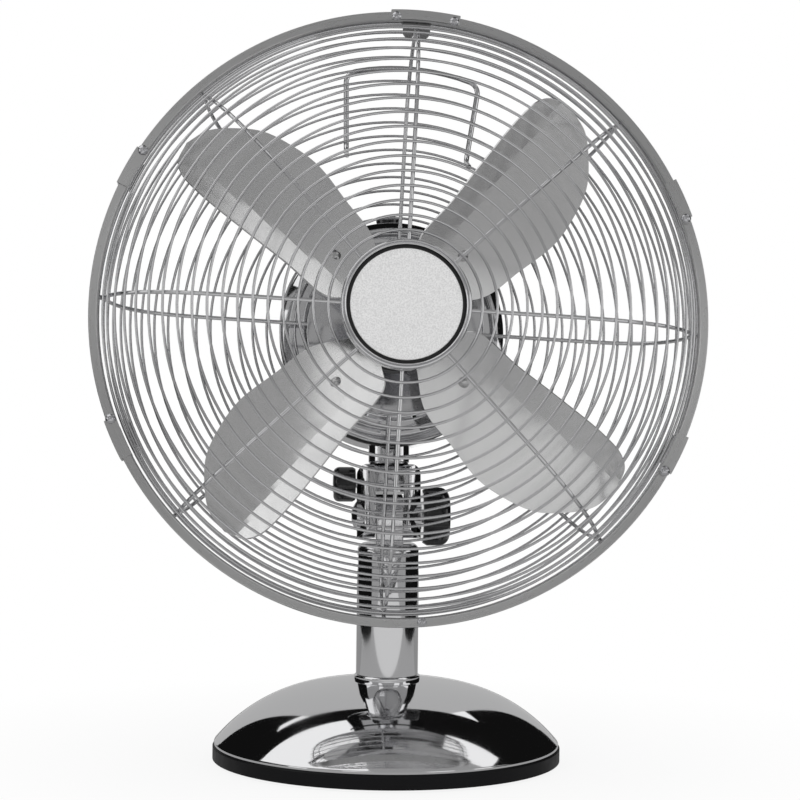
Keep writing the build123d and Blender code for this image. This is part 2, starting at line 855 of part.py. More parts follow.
def badge_disc():
    # Plain decor disc of sandblasted aluminium, with the screw post behind it.
    back = badge_front + badge_recess + badge_disc_thickness
    disc = rod_y(badge_disc_radius, back - badge_disc_thickness, back)
    disc += rod_y(badge_post_radius, back, clamp_front)
    disc -= pin_y(ring_screw_radius + slip, back + 1, clamp_front + 1)
    return fan_axis * disc


clamp_front = -front_bowl(badge_hoop) + hoop_wire / 2 + spoke_wire


def badge_clamp():
    # Pressed plate behind the spokes that the badge is screwed to.
    disc = rod_y(badge_hoop + 0.5, clamp_front, clamp_front + 1.0)
    return fan_axis * (disc - pin_y(ring_screw_radius + slip, clamp_front - 1, clamp_front + 2))


def badge_screw():
    back = clamp_front + 1.0
    screw = pin_y(ring_screw_radius, clamp_front - 5.0, back)
    screw += pin_y(ring_screw_head, back, back + 1.5)
    return fan_axis * screw


# Latches: each swings outwards on its rivet, at its clockwise end.
latch_face = -ring_front - gap
latch_back = -ring_front + ring_width + gap
latch_outer = ring_radius + gap + latch_thickness


def guard_latch(angle):
    # Spring-steel channel: a front leg on the rivet, a web outside the ring, a rear hook.
    web = outline([
        (latch_outer - latch_thickness, latch_face), (latch_outer, latch_face),
        (latch_outer, latch_back + latch_thickness),
        (rim_radius - latch_hook / 2, latch_back + latch_thickness),
        (rim_radius - latch_hook / 2, latch_back), (latch_outer - latch_thickness, latch_back),
    ])
    channel = revolve(web, Axis.Y, latch_span - 1.6)
    channel = Rot(0, -90 - latch_span, 0) * channel
    leg = outline([
        (screw_line - latch_lug, latch_face - latch_thickness),
        (latch_outer, latch_face - latch_thickness), (latch_outer, latch_face),
        (screw_line - latch_lug, latch_face),
    ])
    front = Rot(0, -90 - latch_span, 0) * revolve(leg, Axis.Y, latch_span)
    lug = Pos(0, 0, screw_line) * rod_y(latch_lug, latch_face - latch_thickness, latch_face)
    hole = rod_y(ring_screw_radius + running, latch_face - 2, latch_face + 1)
    body = channel + front + lug - Pos(0, 0, screw_line) * hole
    return guard_axis * Rot(0, angle, 0) * body


def latch_rivets():
    rivets = []
    for angle in latch_angles:
        head = latch_face - latch_thickness - gap
        rivet = pin_y(ring_screw_radius, head, -ring_front)
        rivet += pin_y(ring_screw_head, head - 1.3, head)
        x, z = on_circle(screw_line, angle)
        rivets.append(Pos(x, 0, z) * rivet)
    return guard_axis * Compound(children=rivets)


# ---------------------------------------------------------------------------
# Motor (drawn level about the shaft, Y = 0 at the spindle)
# ---------------------------------------------------------------------------

motor_axis = tilted * Pos(0, 0, axis_height)
guard_plate_back = -ring_forward + rear_bowl(rear_first) - hoop_wire / 2 - spoke_wire


def motor_front_cover():
    # Shallow chromed pan with a stepped rim; it fits round the shield's shoulder.
    front = -motor_front
    joint = -cover_joint
    bore = shield_shoulder + slip
    profile = outline([
        (bore, front), (motor_radius - 14, front), (motor_radius - 12, front + 2.5),
        (motor_radius - 4, front + 2.5), (motor_radius, front + 6), (motor_radius, joint),
        (motor_radius - cover_wall, joint), (motor_radius - cover_wall, front + 7),
        (motor_radius - 5, front + 3.5 + cover_wall / 2),
        (motor_radius - 13, front + 3.5), (motor_radius - 14.6, front + cover_wall),
        (bore, front + cover_wall),
    ])
    return motor_axis * turned_y(profile)


def motor_band():
    # Polished trim ring over the joint of the two covers.
    low = -cover_joint - band_width / 2
    ring = ring_face_of(motor_radius + slip, band_radius, low, low + band_width)
    return motor_axis * turned_y(ring)


def cover_shape(inset):
    back = cover_back - inset
    radius = motor_radius - inset
    turn = cover_round - inset
    side = Polyline((0, -cover_joint), (radius, -cover_joint), (radius, back - turn))
    bend = CenterArc((radius - turn, back - turn), turn, 0, 90)
    end = Polyline((radius - turn, back), (0, back), (0, -cover_joint))
    return turned_y(make_face(side + bend + end))


def motor_rear_cover():
    # Deep-drawn chromed cup, open in front, with holes for the boss and the pull knob.
    cup = cover_shape(0) - cover_shape(cover_wall)
    cup -= rod_y(motor_radius - cover_wall, -cover_joint - 1, -cover_joint + 1)
    cup -= rod_z(boss_radius + gap, -motor_radius - 1, 0)
    cup -= Pos(0, pull_knob_y, 0) * rod_z(knob_stem_radius + gap, 0, motor_radius + 1)
    for column in range(-2, 3):
        cup -= Pos(column * slot_pitch, cover_back, 0) * Box(slot_width, 20, slot_length)
    return motor_axis * cup


def motor_shield(front):
    """Cast end plate of the motor with a seat for its bearing, from front backwards."""
    plate = rod_y(shield_radius, front, front + shield_thickness)
    plate -= rod_y(bearing_radius + slip, front - 1, front + shield_thickness + 1)
    return plate


stator_back = -stator_front + stator_length
front_shield_y = -stator_front - winding_length - shield_thickness - gap
rear_shield_y = stator_back + winding_length + gap
case_front = rear_shield_y + shield_thickness
pull_knob_y = (case_front + case_back) / 2


def motor_front_shield():
    # Its neck carries the guard's plate and the big nut; its pads reach the stator.
    body = motor_shield(front_shield_y)
    body += rod_y(rear_plate_inner - slip, guard_plate_back - rear_plate_thickness - nut_depth,
                  front_shield_y)
    body += rod_y(shield_shoulder, guard_plate_back, front_shield_y)
    body -= rod_y(bearing_radius + slip, guard_plate_back - 30, front_shield_y + 5)
    return motor_axis * (body + shield_pads(front_shield_y + shield_thickness, -stator_front))


def shield_pad(front, back):
    """Block at the top of an end plate that reaches to the stator's rim."""
    middle = (front + back) / 2
    return Pos(0, middle, (stator_outer + winding_outer) / 2) * Box(7, back - front, 3)


def shield_pads(front, back):
    """Four pads between an end plate and the stator."""
    pads = []
    for index in range(4):
        pads.append(Rot(0, 45 + 90 * index, 0) * shield_pad(front - 1, back))
    ring = ring_face_of(stator_outer - 3, shield_radius, front - 1, front)
    return pads[0].fuse(*pads[1:], turned_y(ring))


def motor_rear_shield():
    body = motor_shield(rear_shield_y)
    pads = []
    for index in range(4):
        pads.append(Rot(0, 45 + 90 * index, 0) * shield_pad(stator_back, rear_shield_y + 1))
    return motor_axis * body.fuse(*pads)


def stator_core():
    # Laminated ring round the rotor.
    ring = ring_face_of(stator_inner, stator_outer, -stator_front, stator_back)
    return motor_axis * turned_y(ring)


def stator_windings():
    # Copper end turns on both sides of the core.
    coils = []
    for low, high in ((-stator_front - winding_length, -stator_front),
                      (stator_back, stator_back + winding_length)):
        coils.append(turned_y(ring_face_of(winding_inner, winding_outer - 3, low, high)))
    return motor_axis * Compound(children=coils)


def motor_bearings():
    bushes = []
    for plate in (front_shield_y, rear_shield_y):
        bushes.append(turned_y(ring_face_of(shaft_radius + running, bearing_radius,
                                            plate - bearing_nose, plate + shield_thickness)))
    return motor_axis * Compound(children=bushes)


def guard_nut():
    # Large moulded nut in front of the guard's plate.
    front = guard_plate_back - rear_plate_thickness - nut_depth
    nut = rod_y(rear_plate_inner + nut_wall, front, front + nut_depth)
    nut -= rod_y(rear_plate_inner, front - 1, front + nut_depth + 1)
    return motor_axis * nut


# ---------------------------------------------------------------------------
# Rotor and blades (Y = 0 at the spindle, blade drawn pointing up)
# ---------------------------------------------------------------------------

shaft_front = -blade_plane - 14.0
shaft_back = case_front + worm_length + 3.0


def motor_shaft():
    # Steel shaft with a worm at its back end.
    shaft = rod_y(shaft_radius, shaft_front, shaft_back)
    worm = rod_y(worm_radius, case_front + 1, case_front + 1 + worm_length)
    return motor_axis * (shaft + worm)


def rotor_core():
    radius = stator_inner - air_gap
    ring = ring_face_of(shaft_radius, radius, -stator_front, stator_back)
    return motor_axis * turned_y(ring)


def blade_along(reach):
    """Share of the way from a blade's root to its tip."""
    return (reach - blade_root) / (blade_tip - blade_root)


def blade_pitch(reach):
    return blade_pitch_root + (blade_pitch_tip - blade_pitch_root) * blade_along(reach)


def blade_section(reach, front, back):
    """Section of the sheet: a shallow arc, and a straight strip beyond the crease."""
    half = blade_sheet_width / 2
    bow = (half ** 2 + blade_camber ** 2) / (2 * blade_camber)
    crease = -crease_root - (crease_tip - crease_root) * blade_along(reach)
    drop = sqrt(bow ** 2 - crease ** 2) - bow
    slope = asin(-crease / bow) + radians(crease_bend)
    edges = []
    for offset in (front, back):
        edges.append(((-half, offset + drop - (half + crease) * tan(slope)),
                      (crease, offset + drop), (0, offset), (half, offset - blade_camber)))
    (a, b, c, d), (e, f, g, h) = edges
    return make_face(Line(a, b) + ThreePointArc(b, c, d) + Line(d, h)
                     + ThreePointArc(h, g, f) + Line(f, e) + Line(e, a))


def blade_sheet(front, back):
    """Twisted, creased sheet between two offsets from the surface where blade and arm meet."""
    sections = []
    stations = 4
    start = hub_radius / 2
    end = blade_tip + 4
    for index in range(stations):
        reach = start + (end - start) * index / (stations - 1)
        turned = Rot(0, 0, blade_pitch(reach)) * blade_section(reach, front, back)
        sections.append(Pos(0, 0, reach) * turned)
    return loft(sections)


def blade_outline():
    """Planform of one paddle in X-Z: near-straight trailing edge on the left, tip up."""
    left, right = blade_heel
    heel = [(left * blade_tip, blade_root), (right * blade_tip, blade_root)]
    end = (blade_end[0] * blade_tip, blade_end[1] * blade_tip)
    trail = [(x * blade_tip, z * blade_tip) for x, z in blade_trailing]
    lead = [(x * blade_tip, z * blade_tip) for x, z in blade_leading]
    return make_face(Spline(heel[0], *trail, end) + Spline(end, *lead, heel[1])
                     + Line(heel[1], heel[0]))


rivet_place = Pos(0, 0, rivet_circle) * Rot(0, 0, blade_pitch(rivet_circle))


def fan_blade(angle):
    # Stamped aluminium paddle, twisted, cambered and creased, with one rivet hole.
    sheet = blade_sheet(-blade_thickness, 0)
    plan = extrude(Plane.XZ * blade_outline(), blade_sheet_width, both=True)
    blade = sheet & plan
    blade -= rivet_place * pin_y(rivet_radius + slip, -arm_width, arm_width)
    return motor_axis * Pos(0, -blade_plane, 0) * Rot(0, angle, 0) * blade


def blade_hub():
    # Steel spider: a boss on the shaft and a twisted arm behind each blade.
    sheet = blade_sheet(slip, slip + arm_thickness)
    plan = Pos(0, arm_reach / 2) * Rectangle(arm_width, arm_reach)
    plan = chamfer(plan.vertices().group_by(Axis.Y)[-1], arm_width / 4)
    arm = sheet & extrude(Plane.XZ * plan, blade_sheet_width, both=True)
    arm -= rivet_place * pin_y(rivet_radius + slip, -arm_width, arm_width)
    pieces = []
    for index in range(blade_count):
        pieces.append(Rot(0, blade_angle + 360 / blade_count * index, 0) * arm)
    hub = rod_y(hub_radius, -hub_length / 2, hub_length / 2).fuse(*pieces)
    hub -= rod_y(shaft_radius, -hub_length, hub_length)
    return motor_axis * Pos(0, -blade_plane, 0) * hub


def blade_rivets():
    # Square to the sheet, with a head in front and one behind the arm.
    front = -blade_thickness - slip
    back = arm_thickness + 2 * slip
    rivet = pin_y(rivet_radius, front, back)
    rivet += pin_y(rivet_head, front - 1.0, front) + pin_y(rivet_head, back, back + 1.0)
    rivets = []
    for index in range(blade_count):
        rivets.append(Rot(0, blade_angle + 360 / blade_count * index, 0) * rivet_place * rivet)
    return motor_axis * Pos(0, -blade_plane, 0) * Compound(children=rivets)


def hub_nut():
    # Moulded nut that holds the blades on the shaft.
    front = -blade_plane - hub_length / 2 - hub_nut_length
    nut = rod_y(hub_nut_radius, front, front + hub_nut_length)
    nut = chamfer(nut.edges().group_by(Axis.Y)[0], 2)
    nut -= rod_y(shaft_radius, shaft_front, front + hub_nut_length + 1)
    return motor_axis * nut


# ---------------------------------------------------------------------------
# Gearbox with the swivel boss, and the pull knob that disengages it
# ---------------------------------------------------------------------------

boss_low = pivot_z + fork_top + washer_thickness - axis_height
boss_high = -shield_radius - 1.0


def gearbox_case():
    # Die casting: gear chamber behind the motor, a foot below it and the swivel boss.
    depth = case_back - case_front
    middle = (case_front + case_back) / 2
    chamber = Pos(0, middle, (case_high - case_low) / 2)
    body = chamber * Box(case_width, depth, case_low + case_high)
    body = fillet(body.edges().filter_by(Axis.Z), 5)
    foot_low = -motor_radius + 6
    foot = Pos(0, middle, (foot_low - case_low) / 2)
    body += foot * Box(2 * boss_radius, depth, -case_low - foot_low + 0.1)
    arm = Pos(0, middle / 2, (foot_low + boss_high) / 2)
    body += arm * Box(2 * boss_radius - 4, middle, boss_high - foot_low)
    body += rod_z(boss_radius, boss_low, boss_high)
    body -= rod_z(spindle_radius + running, boss_low - 1,
                  spindle_low + spindle_length - axis_height + gap)
    body -= rod_y(worm_radius + gap, case_front - 1, shaft_back + gap)
    body -= Pos(0, pull_knob_y, 0) * rod_z(knob_stem_radius + running,
                                           case_high - stem_grip - gap, case_high + 1)
    return motor_axis * body


def oscillation_knob():
    # Push-pull knob on a stem that goes down into the gearbox.
    top = motor_radius + knob_stand_off
    stem = rod_z(knob_stem_radius, case_high - stem_grip, top + 4)
    knob = rod_z(pull_knob_radius, top, top + pull_knob_height)
    knob = chamfer(knob.edges().group_by(Axis.Z)[-1], 1.5)
    return motor_axis * Pos(0, pull_knob_y, 0) * (stem + knob)


# ---------------------------------------------------------------------------
# One STEP file per piece
# ---------------------------------------------------------------------------

write("base_dome", base_dome())
write("base_skirt", base_skirt())
write("base_plate", base_plate())
write("ballast_weight", ballast_weight())
write("rubber_feet", rubber_feet())
write("base_screws", base_screws())
write("cord_gland", cord_gland())
write("speed_switch", speed_switch())
write("speed_knob", speed_knob())
write("neck_collar", neck_collar())
write("neck_tube", neck_tube())
write("neck_head", neck_head())
write("neck_stud", neck_stud())
write("neck_nut", neck_nut())
write("yoke_fork", tilted * yoke_fork())
write("pivot_bolt", tilted * pivot_bolt())
write("tilt_knob", tilted * tilt_knob())
write("lock_knob", tilted * lock_knob())
write("lock_screw", tilted * lock_screw())
write("spindle", tilted * spindle())
write("thrust_washer", tilted * thrust_washer())
write("front_guard", front_guard())
write("rear_guard", rear_guard())
write("carry_handle", carry_handle())
write("guard_ring", guard_ring())
write("ring_strap", ring_strap())
write("ring_screws", ring_screws())
write("rim_bracket", rim_bracket())
write("badge_rim", badge_rim())
write("badge_disc", badge_disc())
write("badge_clamp", badge_clamp())
write("badge_screw", badge_screw())
for index, angle in enumerate(latch_angles):
    write("guard_latch_" + str(index + 1), guard_latch(angle))
write("latch_rivets", latch_rivets())
write("motor_front_cover", motor_front_cover())
write("motor_rear_cover", motor_rear_cover())
write("motor_band", motor_band())
write("motor_front_shield", motor_front_shield())
write("motor_rear_shield", motor_rear_shield())
write("stator_core", stator_core())
write("stator_windings", stator_windings())
write("motor_bearings", motor_bearings())
write("guard_nut", guard_nut())
write("motor_shaft", motor_shaft())
write("rotor_core", rotor_core())
for index in range(blade_count):
    write("fan_blade_" + str(index + 1), fan_blade(blade_angle + 360 / blade_count * index))
write("blade_hub", blade_hub())
write("blade_rivets", blade_rivets())
write("hub_nut", hub_nut())
write("gearbox_case", gearbox_case())
write("oscillation_knob", oscillation_knob())
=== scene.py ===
import json
from math import asin, atan2, cos, degrees, hypot, pi, radians, sin, sqrt, tan

import bpy
from mathutils import Matrix, Vector


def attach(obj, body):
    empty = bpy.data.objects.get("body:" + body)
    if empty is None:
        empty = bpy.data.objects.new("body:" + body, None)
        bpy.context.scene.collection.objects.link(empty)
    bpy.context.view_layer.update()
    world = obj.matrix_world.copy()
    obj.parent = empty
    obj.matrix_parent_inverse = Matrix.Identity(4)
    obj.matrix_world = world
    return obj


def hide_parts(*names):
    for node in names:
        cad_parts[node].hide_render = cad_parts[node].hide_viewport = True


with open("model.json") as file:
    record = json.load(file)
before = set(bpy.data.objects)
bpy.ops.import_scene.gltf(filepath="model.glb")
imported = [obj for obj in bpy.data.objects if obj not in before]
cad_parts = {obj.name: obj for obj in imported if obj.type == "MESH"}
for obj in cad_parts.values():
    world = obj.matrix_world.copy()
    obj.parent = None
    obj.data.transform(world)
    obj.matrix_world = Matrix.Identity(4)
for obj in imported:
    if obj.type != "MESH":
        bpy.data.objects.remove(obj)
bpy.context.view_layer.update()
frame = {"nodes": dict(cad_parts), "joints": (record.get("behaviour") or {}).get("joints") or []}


# ---- Base dome
# Thin steel pressed into a shallow dome, polished and chrome plated. It stands
# on the black skirt, and the neck's stud pulls it down from below.
mm = 0.001
crown_top, crown_bend, crown_reach = 48.5, 240, 45
dome_edge, dome_hem, dome_foot = 101.4, 11.2, 9.4


def only(*pieces):
    """Selects these pieces and nothing else; the first one is active."""
    bpy.ops.object.select_all(action="DESELECT")
    for piece in pieces:
        piece.select_set(True)
    bpy.context.view_layer.objects.active = pieces[0]


def placed(piece, place=None):
    """Gives a piece its place, if one is named, and moves that place into its mesh."""
    if place is not None:
        piece.matrix_world = place
    only(piece)
    bpy.ops.object.transform_apply(location=True, rotation=True, scale=True)
    return piece


def drawn(name, points, closed):
    """A line through the points, drawn by extruding one corner; stays in edit mode."""
    bpy.ops.mesh.primitive_plane_add(size=mm)
    piece = bpy.context.object
    piece.name = piece.data.name = name
    bpy.ops.object.mode_set(mode="EDIT")
    bpy.ops.mesh.select_mode(type="VERT")
    bpy.ops.mesh.merge(type="CENTER")
    bpy.ops.transform.translate(value=points[0])
    way = points + points[:1] if closed else points
    for before, after in zip(way, way[1:]):
        bpy.ops.mesh.extrude_vertices_move(TRANSFORM_OT_translate={"value": after - before})
    bpy.ops.mesh.select_all(action="SELECT")
    if closed:
        bpy.ops.mesh.remove_doubles(threshold=0.002 * mm)
    return piece


def outwards():
    """Turns the faces of the piece in edit mode outwards, and leaves edit mode."""
    bpy.ops.mesh.select_all(action="SELECT")
    bpy.ops.mesh.normals_make_consistent(inside=False)
    bpy.ops.object.mode_set(mode="OBJECT")


def turned(name, profile, steps=96, closed=True, start=0, turn=360):
    """A profile of radius and height in mm, spun round Z; a part turn has filled ends."""
    from_x, from_y = cos(radians(start)) * mm, sin(radians(start)) * mm
    piece = drawn(name, [Vector((r * from_x, r * from_y, z * mm)) for r, z in profile], closed)
    if turn < 360:
        bpy.ops.mesh.edge_face_add()
    bpy.ops.mesh.spin(steps=steps, angle=-radians(turn), center=(0, 0, 0), axis=(0, 0, 1))
    bpy.ops.mesh.select_all(action="SELECT")
    bpy.ops.mesh.remove_doubles(threshold=0.005 * mm)
    outwards()
    return piece


def worked(piece, kind, **settings):
    """Changes a piece with a modifier of a kind, which is applied at once."""
    tool = piece.modifiers.new(kind, kind)
    for setting, value in settings.items():
        setattr(tool, setting, value)
    only(piece)
    bpy.ops.object.modifier_apply(modifier=tool.name)
    return piece


def edged(piece, width, corner=35, rounds=3):
    """Rounds the sharp edges of a piece by width in mm."""
    return worked(piece, "BEVEL", width=width * mm, segments=rounds, limit_method="ANGLE",
        angle_limit=radians(corner))


def set_in(piece, place, finish, smooth=35):
    """Puts a piece in its place, with its place in its mesh, and gives it its finish."""
    placed(piece, place @ piece.matrix_world)
    bpy.ops.object.shade_smooth_by_angle(angle=radians(smooth))
    worked(piece, "WEIGHTED_NORMAL", keep_sharp=True)
    piece.data.materials.clear()
    piece.data.materials.append(finish)
    return piece


def added(tree, kind, values=None, **traits):
    """A new shader node with its traits and the values of its inputs."""
    made = tree.nodes.new("ShaderNode" + kind)
    for trait, value in traits.items():
        setattr(made, trait, value)
    for socket, value in (values or {}).items():
        made.inputs[socket].default_value = value
    return made


def bare(name, values):
    """A new material, its node tree, and its shader with the values of its inputs."""
    made = bpy.data.materials.new(name)
    made.use_nodes = True
    shader = made.node_tree.nodes["Principled BSDF"]
    for socket, value in values.items():
        shader.inputs[socket].default_value = value
    return made, made.node_tree, shader


def linked(tree, *links):
    """Links in a node tree, each from a node and its output to a node and its input."""
    for giver, gives, taker, takes in links:
        tree.links.new(giver.outputs[gives], taker.inputs[takes])


def group_of(name, takes, gives):
    """An empty shader node group with float inputs and outputs, and its two end nodes."""
    group = bpy.data.node_groups.new(name, "ShaderNodeTree")
    for socket, value in takes.items():
        made = group.interface.new_socket(socket, in_out="INPUT", socket_type="NodeSocketFloat")
        made.default_value = value
    for socket in gives:
        group.interface.new_socket(socket, in_out="OUTPUT", socket_type="NodeSocketFloat")
    return group, group.nodes.new("NodeGroupInput"), group.nodes.new("NodeGroupOutput")


# Wiped and handled surfaces: roughness drifts softly between two values.
wiped, wiped_in, wiped_out = group_of("wiped_surface", {"Scale": 30, "Cleanest": 0.04,
    "Dullest": 0.10}, ["Roughness"])
wiped_place = added(wiped, "TexCoord")
wiped_cloud = added(wiped, "TexNoise", {"Detail": 5})
wiped_spread = added(wiped, "MapRange", {"From Min": 0.35, "From Max": 0.70})
linked(wiped, (wiped_place, "Object", wiped_cloud, "Vector"),
    (wiped_in, "Scale", wiped_cloud, "Scale"), (wiped_cloud, "Fac", wiped_spread, "Value"),
    (wiped_in, "Cleanest", wiped_spread, "To Min"), (wiped_in, "Dullest", wiped_spread, "To Max"),
    (wiped_spread, "Result", wiped_out, "Roughness"))


def grained(tree, shader, height, depth, strength):
    """Relief of a finish from the height of a texture node, depth in mm."""
    bump = added(tree, "Bump", {"Strength": strength, "Distance": depth * mm})
    linked(tree, (*height, bump, "Height"), (bump, "Normal", shader, "Normal"))


def finish_of(name, colour, metallic, cleanest, dullest, scale=30, relief=None, **more):
    """A finish with a wiped surface, and a fine relief of (scale, depth in mm, strength)."""
    more = {socket.replace("_", " "): value for socket, value in more.items()}
    made, tree, shader = bare(name, {"Base Color": (*colour, 1), "Metallic": metallic, **more})
    wear = added(tree, "Group", {"Scale": scale, "Cleanest": cleanest, "Dullest": dullest},
        node_tree=wiped)
    linked(tree, (wear, "Roughness", shader, "Roughness"))
    if relief:
        fine = added(tree, "Group", {"Scale": relief[0]}, node_tree=grain)
        grained(tree, shader, (fine, "Height"), *relief[1:])
    return made


polished_chrome = finish_of("polished_chrome", (0.80, 0.80, 0.81), 1, 0.03, 0.09)

crown_slope = asin(crown_reach / crown_bend)
crown_end = crown_top - crown_bend + sqrt(crown_bend ** 2 - crown_reach ** 2)
run, fall = dome_edge - crown_reach, crown_end - dome_hem
shoulder_bend = (run ** 2 + fall ** 2) / (2 * (fall * cos(crown_slope) - run * sin(crown_slope)))
hem_slope = asin(sin(crown_slope) + run / shoulder_bend)
dome_line = [(r, crown_top - crown_bend + sqrt(crown_bend ** 2 - r ** 2))
    for r in (0, 6, 12, 18, 24, 30, 36, 41)]
for step in range(25):
    slope = crown_slope + (hem_slope - crown_slope) * step / 24
    dome_line.append((crown_reach + shoulder_bend * (sin(slope) - sin(crown_slope)),
        crown_end - shoulder_bend * (cos(crown_slope) - cos(slope))))
inside = [(max(r - 0.7, 0), z - 1) for r, z in reversed(dome_line[1:-1])]
dome = turned("pressed_dome", dome_line + [(dome_edge, dome_foot), (dome_edge - 1, dome_foot)]
    + inside + [(0, crown_top - 1)], steps=160, closed=False)
set_in(edged(dome, 0.5), Matrix(), polished_chrome)
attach(dome, "stand")
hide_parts("base_dome")


# ---- Base skirt
# Moulded black ring that the dome stands on, screwed to the base plate. Its
# outside is a fine satin black; the lead's bush goes through it at the back.

# Cast, moulded or sandblasted surfaces: a fine random relief.
grain, grain_in, grain_out = group_of("fine_grain", {"Scale": 2500}, ["Height"])
grain_place = added(grain, "TexCoord")
grain_cloud = added(grain, "TexNoise", {"Detail": 3, "Roughness": 0.6})
linked(grain, (grain_place, "Object", grain_cloud, "Vector"),
    (grain_in, "Scale", grain_cloud, "Scale"), (grain_cloud, "Fac", grain_out, "Height"))


def rod(radius, length, centre, turn, sides):
    """A plain cylinder, sizes and centre in mm, that lies along Z before its turn."""
    bpy.ops.mesh.primitive_cylinder_add(vertices=sides, radius=radius * mm, depth=length * mm,
        location=Vector(centre) * mm, rotation=turn)
    return bpy.context.object


def cut_from(piece, cutter, way="DIFFERENCE"):
    """Cuts one closed piece with another, which is then thrown away."""
    worked(piece, "BOOLEAN", operation=way, solver="EXACT", object=cutter)
    bpy.data.objects.remove(cutter, do_unlink=True)
    return piece


satin_black = finish_of("satin_black_moulding", (0.007, 0.007, 0.008), 0, 0.36, 0.50, 70,
    relief=(3500, 0.02, 0.5), Specular_IOR_Level=0.16)
skirt = turned("skirt_moulding", [(99.2, 1.2), (102.2, 1.2), (102.2, 8.6), (101.4, 9.4),
    (87.2, 9.4), (87.2, 2.4), (99.2, 2.4)], steps=160)
cut_from(skirt, rod(3.02, 30, (0, 98, 5.7), (pi / 2, 0, 0), 32))
set_in(edged(skirt, 0.3), Matrix(), satin_black)
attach(skirt, "stand")
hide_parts("base_skirt")


# ---- Plate, weight, feet, screws
# What closes the base from below: a powder-coated steel plate on rubber pads,
# a rough iron ring that weighs it down, four screws and the lead's bush.
nodes = frame["nodes"]


def refinish(names, finish):
    """A CAD node that already has the right shape gets its finish."""
    for name in names:
        nodes[name].data.materials.clear()
        nodes[name].data.materials.append(finish)


powder_coat = finish_of("black_powder_coat", (0.030, 0.030, 0.032), 0, 0.5, 0.65,
    relief=(1400, 0.05, 0.8))
refinish(["base_plate"], powder_coat)
sand_cast = finish_of("sand_cast_iron", (0.13, 0.12, 0.115), 0.7, 0.6, 0.85, 90,
    relief=(900, 0.2, 1))
refinish(["ballast_weight"], sand_cast)
soft_rubber = finish_of("soft_black_rubber", (0.022, 0.022, 0.022), 0, 0.75, 0.9,
    relief=(1800, 0.03, 0.7))
refinish(["rubber_feet"], soft_rubber)
zinc_steel = finish_of("zinc_plated_steel", (0.62, 0.62, 0.64), 1, 0.18, 0.32, 120)
refinish(["base_screws", "neck_stud", "neck_nut"], zinc_steel)
matte_black = finish_of("matte_black_moulding", (0.026, 0.026, 0.027), 0, 0.5, 0.62,
    relief=(2600, 0.03, 0.6))
refinish(["cord_gland", "speed_switch"], matte_black)


# ---- Speed knob
# Round black knob with a raised grip bar, pushed on the shaft of the rotary
# switch that comes up through the back of the dome.
def moved(x, y, z):
    """A shift in mm."""
    return Matrix.Translation(Vector((x, y, z)) * mm)


def spun(turn, axis):
    """A turn in degrees round an axis."""
    return Matrix.Rotation(radians(turn), 4, axis)


switch_reach = 72
lean = asin(sin(crown_slope) + (switch_reach - crown_reach) / shoulder_bend)
switch_height = crown_end - shoulder_bend * (cos(crown_slope) - cos(lean))
switch_place = moved(0, switch_reach, switch_height) @ Matrix.Rotation(-lean, 4, "X")
gloss_black = finish_of("gloss_black_moulding", (0.012, 0.012, 0.013), 0, 0.10, 0.20, 60,
    Coat_Weight=0.4, Coat_Roughness=0.06)


def blocked(name, low, high):
    """A rectangular block between two corners in mm."""
    low, high = Vector(low) * mm, Vector(high) * mm
    bpy.ops.mesh.primitive_cube_add(size=1, location=(low + high) / 2, scale=high - low)
    piece = bpy.context.object
    piece.name = piece.data.name = name
    return placed(piece)


def joined(*shells):
    """Several shells as one piece."""
    only(*shells)
    bpy.ops.object.join()
    return shells[0]


knob_body = turned("speed_knob_moulding", [(3.05, 1.2), (11, 1.2), (11, 2.6), (10.4, 3.4),
    (10.2, 7), (9.2, 8.2), (0, 8.4), (0, 7.6), (3.05, 7.6)])
grip = edged(blocked("grip_bar", (-2.5, -10.4, 7), (2.5, 10.4, 13.2)), 1.1, rounds=4)
grip_shoulder, grip_narrowing, grip_shortening = 12, 0.72, 0.95
for corner in grip.data.vertices:
    if corner.co.z > grip_shoulder * mm:
        corner.co.x *= grip_narrowing
        corner.co.y *= grip_shortening
speed_knob = joined(edged(knob_body, 0.4), grip)
set_in(speed_knob, switch_place, gloss_black)
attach(speed_knob, "knob_speed")
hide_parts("speed_knob")


# ---- Collar and neck tube
# A turned collar lies on the dome's crown, and a chromed steel tube stands on
# it; the stud inside pulls both down. Both were polished round and round.
collar = turned("collar_ring", [(6, 48.3), (19.6, 47.5), (19.6, 49.6), (18.8, 50.4), (6, 50.4)],
    steps=128)
set_in(edged(collar, 0.25), Matrix(), polished_chrome)
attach(collar, "stand")
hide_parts("neck_collar")
sleeve = turned("neck_sleeve", [(16.7, 50.4), (18.2, 50.4), (18.2, 121), (16.7, 121)], steps=128)
set_in(edged(sleeve, 0.3), Matrix(), polished_chrome)
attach(sleeve, "stand")
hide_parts("neck_tube")


# ---- Neck casting
# Die-cast head of the neck, chrome plated: its spigot sits in the tube, and a
# flat tongue with a round eye stands on its shoulder for the tilt joint.
joints = {joint["name"]: joint for joint in frame["joints"]}
pivot = Vector(joints["tilt"]["pos_m"])
pivot_z = pivot.z / mm
cast_chrome = finish_of("chromed_casting", (0.74, 0.74, 0.75), 1, 0.10, 0.22, 60,
    relief=(700, 0.02, 0.35))


def arc(centre, radius, first, last, steps):
    """Points of an arc in mm, angles in degrees."""
    turns = [radians(first + (last - first) * i / steps) for i in range(steps + 1)]
    return [(centre[0] + radius * cos(turn), centre[1] + radius * sin(turn)) for turn in turns]


def plated(name, outline, low, high):
    """A flat outline in mm, filled and extruded along Z from low to high."""
    piece = drawn(name, [Vector((x, y, low)) * mm for x, y in outline], True)
    bpy.ops.mesh.edge_face_add()
    bpy.ops.mesh.extrude_region_move(TRANSFORM_OT_translate={"value": (0, 0, (high - low) * mm)})
    outwards()
    return piece


